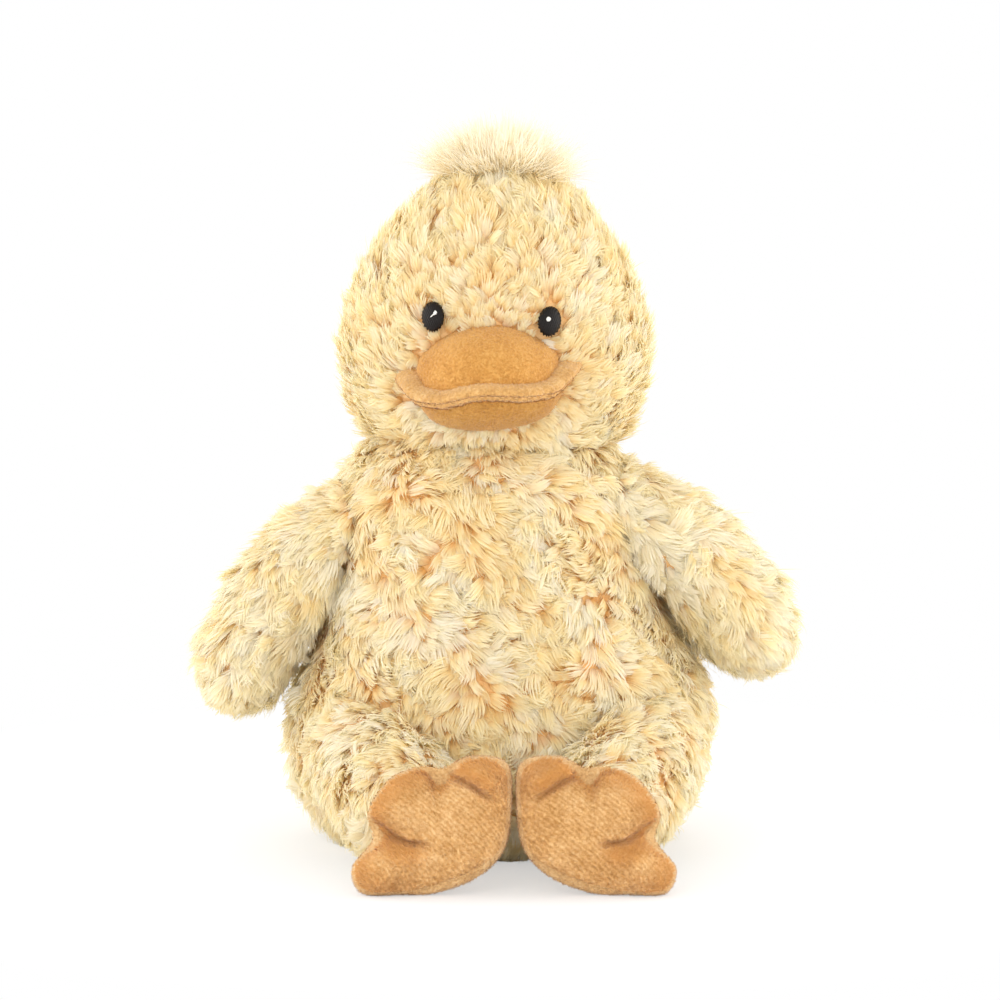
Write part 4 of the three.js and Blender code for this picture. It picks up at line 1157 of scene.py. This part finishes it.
def capsules(starts, ends, radius, around=6):
    """Short threads between pairs of points, each a tube with rounded ends: rings of a circle
    across the line, whose size falls to 0 at both ends."""
    along = np.array([0.0, 0.02, 0.12, 0.3, 0.5, 0.7, 0.88, 0.98, 1.0])
    girth = np.array([0.0, 0.5, 0.85, 1.0, 1.0, 1.0, 0.85, 0.5, 0.0])
    line = unit(ends - starts)
    first = unit(np.cross(line, np.where(np.abs(line[:, 2:]) > 0.9, [[1.0, 0, 0]], [[0, 0, 1.0]])))
    second = np.cross(line, first)
    angle = np.linspace(0, 2 * math.pi, around, endpoint=False)
    ring = np.cos(angle)[None, :, None] * first[:, None, :]
    ring = ring + np.sin(angle)[None, :, None] * second[:, None, :]
    middle = starts[:, None, :] + (ends - starts)[:, None, :] * along[None, :, None]
    rings = middle[:, :, None, :] + radius * girth[None, :, None, None] * ring[:, None, :, :]
    n, rows = len(starts), len(along) - 2
    per = rows * around + 2
    points = np.concatenate([rings[:, 0, :1], rings[:, 1:-1].reshape(n, -1, 3),
                             rings[:, -1, :1]], axis=1)
    quads = grid_faces(rows, around, closed=True) + 1
    i = np.arange(around)
    after = (i + 1) % around
    fans = np.concatenate([np.stack([np.zeros_like(i), 1 + after, 1 + i], 1),
                           np.stack([np.full_like(i, per - 1), 1 + (rows - 1) * around + i,
                                     1 + (rows - 1) * around + after], 1)])
    base = np.arange(n)[:, None, None] * per
    faces = (quads[None] + base).reshape(-1, 4), (fans[None] + base).reshape(-1, 3)
    return points.reshape(-1, 3), *faces


PITCH = math.radians(4.4)  # from stitch to stitch
turns = np.arange(math.radians(-74), math.radians(74), PITCH)
starts, ends = (seated(lip_path(turns + share * PITCH, np.full_like(turns, STITCH_TURN), 0.35))
                for share in (0, 0.66))
points, quads, fans = capsules(starts, ends, 0.3)
stitches = add_piece("bill_topstitching", points, [quads, fans], TOP_THREAD, "head")

# Eyes: satin stitches laid side by side over a low dome, with a few white ones on top
EYE_SPACING = 41.5
EYE_HEIGHT = 90.0
EYE_HALF = (4.0, 5.1)
THREAD_PITCH = 0.62  # from one satin thread to the next


def eye_point(sign, x, z, out):
    """A place over an eye's middle, by its distances from it, out from the head's surface."""
    spot = np.stack([sign * EYE_SPACING / 2 + x, np.zeros_like(x), EYE_HEIGHT + z], -1)
    spot[..., 1] = face_depth(spot[..., 0], spot[..., 2]) - out
    return seen(HEAD_PLACE, spot)


def eye_dome(sign, radius, angle, lift):
    """Half an egg over the eye's oval, ribbed where its threads lie side by side, with their ends
    uneven round the edge."""
    ends = 1 + 0.06 * radius**6 * np.sin(23 * angle + 1.5 * np.sin(4 * angle))
    x, z = EYE_HALF[0] * radius * ends * np.cos(angle), EYE_HALF[1] * radius * ends * np.sin(angle)
    lay = (x * math.cos(0.35 * sign) + z * math.sin(0.35 * sign)) / THREAD_PITCH
    ribs = 0.2 * np.abs(np.sin(lay * math.pi)) * np.sqrt(np.maximum(1 - radius**4, 0))
    return eye_point(sign, x, z, lift * np.sqrt(np.maximum(1 - radius**2, 0)) + ribs)


# Glints: the middle from the glint's place, then stitches by their angle and reach to each side
GLINTS = {
    "left": ((-0.3, -0.3), [(0, 0.85, 0.85), (30, 0.8, 0.85), (60, 0.85, 0.8), (90, 0.8, 0.85),
                            (120, 0.85, 0.85), (150, 0.8, 0.8)]),
    "right": ((0.8, 0.3), [(46, 2.3, 0.9), (4, 0.6, 0.8), (86, 0.5, 0.9), (124, 0.7, 0.5),
                           (66, 1.0, 0.7)]),
}
GLINT_HEIGHT = 1.53  # over the eye's middle
EYE_LIFT = 2.3  # how far the eye stands out
for side, sign in SIDES.items():
    radius = np.concatenate([np.linspace(0, 0.96, 34) ** 0.9, [0.985, 1.0]])
    angle = np.linspace(*FULL_TURN, 120, endpoint=False)
    top = eye_dome(sign, *np.meshgrid(radius, angle, indexing="ij"), EYE_LIFT)
    inward = np.array([1.0, 0.66, 0.33, 0.0])[:, None]
    under = eye_point(sign, EYE_HALF[0] * inward * np.cos(angle),
                      EYE_HALF[1] * inward * np.sin(angle), -1.6 + 0 * inward * angle)
    eye = rounded(f"{side}_eye_stitches", np.concatenate([top, under]), BLACK_THREAD, "head")
    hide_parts(f"{side}_eye")
    (off_x, off_z), stitches = GLINTS[side]
    spin, before, after = np.array(stitches, float).T
    spin = np.radians(spin)
    starts, ends = (eye_point(sign, off_x + reach * np.cos(spin),
                              GLINT_HEIGHT + off_z + reach * np.sin(spin),
                              EYE_LIFT + 0.15 + 0 * spin)
                    for reach in (-before, after))
    points, quads, fans = capsules(starts, ends, 0.24)
    glint = add_piece(f"{side}_glint_stitches", points, [quads, fans], WHITE_THREAD, "head")
    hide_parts(f"{side}_eye_glint")

# Feet: two halves sewn round a three-toed outline
FOOT_REACH = 34.5
FOOT_LINE = [(-179, 0.58), (-148, 0.72), (-118, 0.79), (-88, 1), (-66, 0.84), (-48, 0.48),
             (-28, 0.66), (0, 0.69), (34, 0.7), (59, 0.55), (75, 0.93), (91, 0.98), (112, 0.74),
             (140, 0.58)]
PAD_X = {"left": 30.4465, "right": -25.0465}
PAD_Y = -109.9918
PAD_Z = 22.7864
SOLE_BULGE = 8.0
INSTEP_BULGE = 12.0
WEB_SHARE = 0.64
VELOUR = 1.8


def foot_outline(least, count):
    """Points at even distances round the foot, with its gaps filled up to a least share."""
    angle, share = np.radians([a for a, _ in FOOT_LINE]), np.array([s for _, s in FOOT_LINE])
    reach = FOOT_REACH * np.maximum(share, least)
    p = np.stack([reach * np.sin(angle), reach * np.cos(angle)], 1)
    curve = through(np.vstack([p[-1:], p, p[:2]]))
    return evenly(np.vstack([curve, curve[:1]]), count + 1)[:-1]


# Creases: from a gap to an end, and which side the toe is on
CREASES = (((-14.0, 13.5), (-25.0, -7.0), -1), ((13.0, 10.2), (5.0, -5.0), 1))
SOLE_EDGE = math.radians(71)  # how far round from the sole's middle its seam is
TOES = ((-25.0, 2.0), (1.5, 16.5), (23.0, 1.5))  # middles of the toes' plump parts


def creased(x, y):
    """How far the cloth is drawn in along the creases, in millimetres, and how near a crease is,
    from 0 to 1: bell curves of the distance from each line, less one for the roll beside it."""
    drawn, near = np.zeros_like(x), np.zeros_like(x)
    for start, end, toe_side in CREASES:
        a, b = np.array(start), np.array(end)
        line = (b - a) / np.linalg.norm(b - a)
        share = ((x - a[0]) * line[0] + (y - a[1]) * line[1]) / np.linalg.norm(b - a)
        off = ((x - a[0]) * line[1] - (y - a[1]) * line[0]) * toe_side
        off = off + np.sin(share * 5)
        fade = (1 - eased(share, 0.6, 1.1)) * bell(np.maximum(-share, 0) * 10, 1, 6)
        fold = bell(off, 2.6, 1.1) + bell(off, 1.6, 4.5)
        drawn = drawn + fade * (fold - bell(off + 5.5, 1.5, 3.5))
        near = np.maximum(near, fade * bell(off + 3.5, 1, 4.5))
    return drawn, near


def pad_half(bulge, least, way, inset=0.0, rings=56, count=240, stop=math.pi / 2):
    """Half of the foot's pillow: rings from its middle out to the outline and, where stop is more
    than a quarter turn, on over the outline's rim to the seam on the sole. Each ring is the outline
    times the sine of its turn, at the height's cosine, with plump toes and drawn creases."""
    outline, bare = (line * (1 - inset / np.linalg.norm(line, axis=1, keepdims=True))
                     for line in (foot_outline(least, count), foot_outline(0.0, count)))
    polar = np.linspace(0, stop, rings)[:, None]
    over = np.clip((polar - math.pi / 2) / max(stop - math.pi / 2, 1e-6), 0, 1)[..., None]
    place = (outline * (1 - over) + bare * over) * np.sin(polar)[..., None]
    x, y = place[..., 0], place[..., 1]
    over_rim = polar > math.pi / 2
    on_sole = ~over_rim if way > 0 else over_rim  # what is sewn to the sole's edge follows its form
    spots = np.stack([x, y, 0 * x], -1)
    plump = 0.5 * np.where(on_sole, ripple(spots, 30, 9), ripple(spots, 30, 7))
    for toe in TOES:
        from_toe = (x - toe[0]) ** 2 + (y - toe[1]) ** 2
        plump = plump + np.where(on_sole, 3.6, 0.5) * np.exp(-from_toe / 50)
    height = np.where(over_rim, SOLE_BULGE, bulge) - inset
    rise = (height + plump) * fuller(np.cos(polar), 0.85)
    drawn = creased(x, y)[0] * np.where(on_sole, 1, 0.4)
    rise = rise - np.sign(rise) * np.minimum(drawn, 0.75 * np.abs(rise))
    return np.stack([x, y, way * (rise + 0.1)], -1)


for side, sign in SIDES.items():
    pad = shifted(PAD_X[side], PAD_Y, PAD_Z) @ turned("x", 82) @ turned("z", -sign * 40)
    pad = pad @ np.diag([sign, 1.0, 1.0, 1.0])
    unpad = np.linalg.inv(pad)
    toeward = pad[:3, :3] @ np.array([0.25, 1.0, 0.0])

    def toe_rim_shade(points):
        """Where painted shade deepens the sole's colour: near the outline or the toe's side of a
        crease.
        """
        p = seen(unpad, points)
        outline = foot_outline(0.0, 240)
        turn = np.arctan2(p[:, 0], p[:, 1])
        lines = np.arctan2(outline[:, 0], outline[:, 1])
        order = np.argsort(lines)
        reach = np.interp(turn, lines[order], np.linalg.norm(outline, axis=1)[order],
                          period=2 * math.pi)
        rim = eased(np.hypot(p[:, 0], p[:, 1]) / reach, 0.55, 0.95) * eased(p[:, 1], -16, 8)
        return 0.8 * np.maximum(rim, creased(p[:, 0], p[:, 1])[1])

    for part_name, bulge, least, way, stop, paint in (
            ("sole", SOLE_BULGE, 0.0, 1, SOLE_EDGE, SOLE_VELOUR),
            ("instep", INSTEP_BULGE, WEB_SHARE, -1, math.pi - SOLE_EDGE, INSTEP_VELOUR)):
        outer = pad_half(bulge, least, way, stop=stop)
        inner = pad_half(bulge, 0.0, way, VELOUR, rings=16, stop=stop)
        shell = on_floor(seen(pad, np.concatenate([outer, inner[::-1]])), 0.2)
        piece = rounded(f"{side}_{part_name}", shell, paint, f"{side}_foot")
        if part_name == "sole":
            places = np.empty(3 * len(piece.data.vertices), np.float32)
            piece.data.vertices.foreach_get("co", places)
            # painted shade at the sole's rims and creases, as the edge attribute
            set_attribute(piece, "edge", "FLOAT", toe_rim_shade(places.reshape(-1, 3) / MM))
        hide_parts(f"{side}_foot_{part_name}")
        fuzz = np.concatenate([outer, outer[:, :1]], axis=1)[1:]
        # the sole's nap gets the same painted shade at its rims and creases
        density, edge = (5.0, toe_rim_shade) if part_name == "sole" else (3.0, None)
        nap(f"{side}_{part_name}_nap", seen(pad, fuzz), paint, f"{side}_foot",
            lambda p, up: toeward + 0 * p, sign * way, density=density, length=1.3, edge=edge)

    filling = np.concatenate([pad_half(SOLE_BULGE, 0.0, 1, 2 * VELOUR, 20, 120),
                              pad_half(INSTEP_BULGE, 0.0, -1, 2 * VELOUR, 20, 120)[::-1]])
    piece = rounded(f"{side}_foot_filling", seen(pad, filling), FIBRE_FILL, f"{side}_foot")
    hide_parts(f"{side}_foot_stuffing")

# Ankles: the leg's cloth goes on round the ball that the foot tips on
ANKLE = (32.7, -90.99, 22.0)
ANKLE_CLOTH_RADIUS = ANKLE_RADIUS - 1.6
ANKLE_CLOTH = velour_material("ankle_cloth", (232, 198, 142), (245, 220, 168), (252, 236, 196),
                              edge=(245, 220, 168))
polar = np.linspace(0, math.pi, 40)[:, None]
angle = np.linspace(*FULL_TURN, 64, endpoint=False)
for side, sign in SIDES.items():
    ball = np.stack([np.sin(polar) * np.cos(angle), np.sin(polar) * np.sin(angle),
                     np.cos(polar) + 0 * angle], -1)
    ball = ANKLE_CLOTH_RADIUS * ball * (1 + 0.02 * ripple(10 * ball, 9, 61))[..., None]
    ball = ball + np.array(ANKLE) * (sign, 1, 1)
    piece = rounded(f"{side}_ankle_cloth", ball, ANKLE_CLOTH, f"{side}_leg")

# Seat panel: a flat oval of cloth whose pile is pressed flat under the toy
angle = np.linspace(*FULL_TURN, 96, endpoint=False)
radius = np.linspace(0, 1, 24)[:, None]
seat_half = SEAT_SEAM - 0.4
under_seat, in_seat = (np.stack([seat_half * radius * np.cos(angle),
                                 seat_half * BODY_HALF[1] / BODY_HALF[0] * radius * np.sin(angle),
                                 z + 0 * radius * angle], -1) for z in (1.4, 3.6))
seat = rounded("seat_plush", np.concatenate([under_seat, in_seat[::-1]]), PLUSH_BACKING, "torso")
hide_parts("seat_panel")

# Crest: long, fine hair from a patch on the crown
CREST_HALF = (17, 9)  # half width and half depth of the patch
rng = np.random.default_rng(77)
count = 620  # locks
spread = np.sqrt(rng.uniform(0, 1, count))
spin = rng.uniform(*FULL_TURN, count)
local = np.stack([CREST_HALF[0] * spread * np.cos(spin), CREST_HALF[1] * spread * np.sin(spin)], 1)
reach = np.hypot(local[:, 0], local[:, 1] * HEAD_HALF[0] / HEAD_HALF[1])
crown = HEAD.line[len(HEAD.line) // 2:]
height = np.interp(reach, crown[::-1, 0], crown[::-1, 1])
roots = seen(HEAD_PLACE, np.column_stack([local, height - 3.0]))
lean = np.column_stack([local * (1.0, 1.3) + rng.normal(0, 2.5, (count, 2)), np.zeros(count)])
lean = unit(lean) @ HEAD_PLACE[:3, :3].T
normals = unit(np.column_stack([local * 0.035, np.ones(count)])) @ HEAD_PLACE[:3, :3].T
flow = unit(lean - (lean * normals).sum(-1, keepdims=True) * normals)
points, quads, tips, shaded, marks, strand, cell = fibres(
    roots, normals, flow, length=rng.uniform(15, 34, count) * (1 - 0.2 * spread**2),
    width=rng.uniform(3, 6, count), rise=np.radians(86 - 20 * spread + rng.normal(0, 12, count)),
    fall=np.radians(5 + 22 * spread + rng.normal(0, 16, count)), curl=rng.normal(0, 0.6, count),
    tint=rng.uniform(0.3, 0.9, count), rng=rng, count=14, thick=0.24, loose=0.26, arc=(0, 1))
crest = add_piece("crest_hair", points, [quads, tips], CREST_PILE, "head")
set_attribute(crest, "fibre", "FLOAT_VECTOR", marks)
set_attribute(crest, "strand", "FLOAT_VECTOR", strand)
set_map(crest, "OFBake", cell)
crest.data.normals_split_custom_set_from_vertices(shaded)
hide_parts("crest_tuft")

# Pieces kept as the part has them, inside the covers
OWN_PAINT = {"pellet_bag": PELLET_CLOTH, "neck_seam_thread": SEAM_THREAD}
for name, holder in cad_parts.items():
    if name.endswith("stuffing") and "foot" not in name or name in OWN_PAINT:
        holder.data.materials.clear()
        holder.data.materials.append(OWN_PAINT.get(name, FIBRE_FILL))

# The camera, at the photograph's angle
CAMERA_TARGET = np.array([-0.0022, 0.0, 0.1230])
CAMERA_DISTANCE = 4.0
CAMERA_RISE = math.radians(9)
FIELD_WIDTH = 0.36  # metres that the picture is wide at the target
SENSOR = 36
camera = bpy.data.objects.new("camera", bpy.data.cameras.new("camera"))
camera.data.sensor_width = SENSOR
camera.data.lens = SENSOR * CAMERA_DISTANCE / FIELD_WIDTH
camera_side = np.array([0, -math.cos(CAMERA_RISE), math.sin(CAMERA_RISE)])
camera.location = CAMERA_TARGET + CAMERA_DISTANCE * camera_side
camera.rotation_euler = (math.pi / 2 - CAMERA_RISE, 0, 0)
camera.data.clip_end = 60
bpy.context.scene.collection.objects.link(camera)
bpy.context.scene.camera = camera

# Floor, light and background. Away from the toy the floor glows white, as the photograph's does
PLAIN_FLOOR = 130.0  # how far from the middle the glow begins to grow
GLOW_EASE = 160.0  # over what distance it does
floor_paint = Paint("studio_floor", 0.9)
floor_paint.set("Base Color", (0.95, 0.95, 0.95, 1))
floor_x, floor_y, _ = floor_paint.parts(floor_paint.place())
far = floor_paint.math("SQRT", floor_x * floor_x + floor_y * floor_y)
# Painted light: near the toy the floor still glows at half strength for the camera, which lightens
# the toy's shadow on it
beyond = 0.5 + floor_paint.clamped((far - PLAIN_FLOOR) / GLOW_EASE) * 0.5
seen_straight = floor_paint.out(floor_paint.node("ShaderNodeLightPath"), "Is Camera Ray")
white = floor_paint.out(floor_paint.node("ShaderNodeEmission", None, Strength=1.0))
floor_paint.show("Material Output", floor_paint.blended(
    beyond * seen_straight, floor_paint.out(floor_paint.shader), white))
bpy.ops.mesh.primitive_plane_add(size=14)
floor = bpy.context.object
floor.name = "studio_floor"
floor.data.materials.append(floor_paint.material)


def lamp(name, place, size, power):
    """A round softbox that looks at the camera's target: tilted by the arc cosine of its height
    over its distance, and turned by the angle of where it stands."""
    light = bpy.data.lights.new(name, "AREA")
    light.shape = "DISK"
    light.size = size
    light.energy = power
    holder = bpy.data.objects.new(name, light)
    holder.location = place
    away = np.array(place) - CAMERA_TARGET
    tilt = math.acos(away[2] / np.linalg.norm(away))
    holder.rotation_euler = (tilt, 0, math.atan2(away[0], -away[1]))
    bpy.context.scene.collection.objects.link(holder)


# Places and sizes in metres, power in watts
lamp("key_softbox", (-0.8, -2.0, 1.1), 1.5, 13)
lamp("fill_softbox", (1.0, -2.0, 0.6), 1.5, 10)
lamp("left_softbox", (-2.0, 0.2, 0.8), 1.5, 20)
lamp("right_softbox", (2.0, 0.2, 0.8), 1.5, 20)
lamp("back_softbox", (0.2, 1.6, 1.4), 1.4, 6)

world = bpy.data.worlds.new("studio")
bpy.context.scene.world = world
world.use_nodes = True
sky = Nodes(world.node_tree)
soft_light = sky.tree.nodes["Background"]
sky.put(soft_light.inputs["Color"], (1, 0.988, 0.962, 1))
sky.put(soft_light.inputs["Strength"], 0.96)
white = sky.node("ShaderNodeBackground", None, Color=(1, 1, 1, 1), Strength=1.0)
rays = sky.node("ShaderNodeLightPath")
straight = sky.clamped(sky.out(rays, "Is Camera Ray") + sky.out(rays, "Is Glossy Ray"))
sky.show("World Output", sky.blended(straight, sky.out(soft_light), sky.out(white)))
bpy.context.scene.view_settings.view_transform = "Standard"
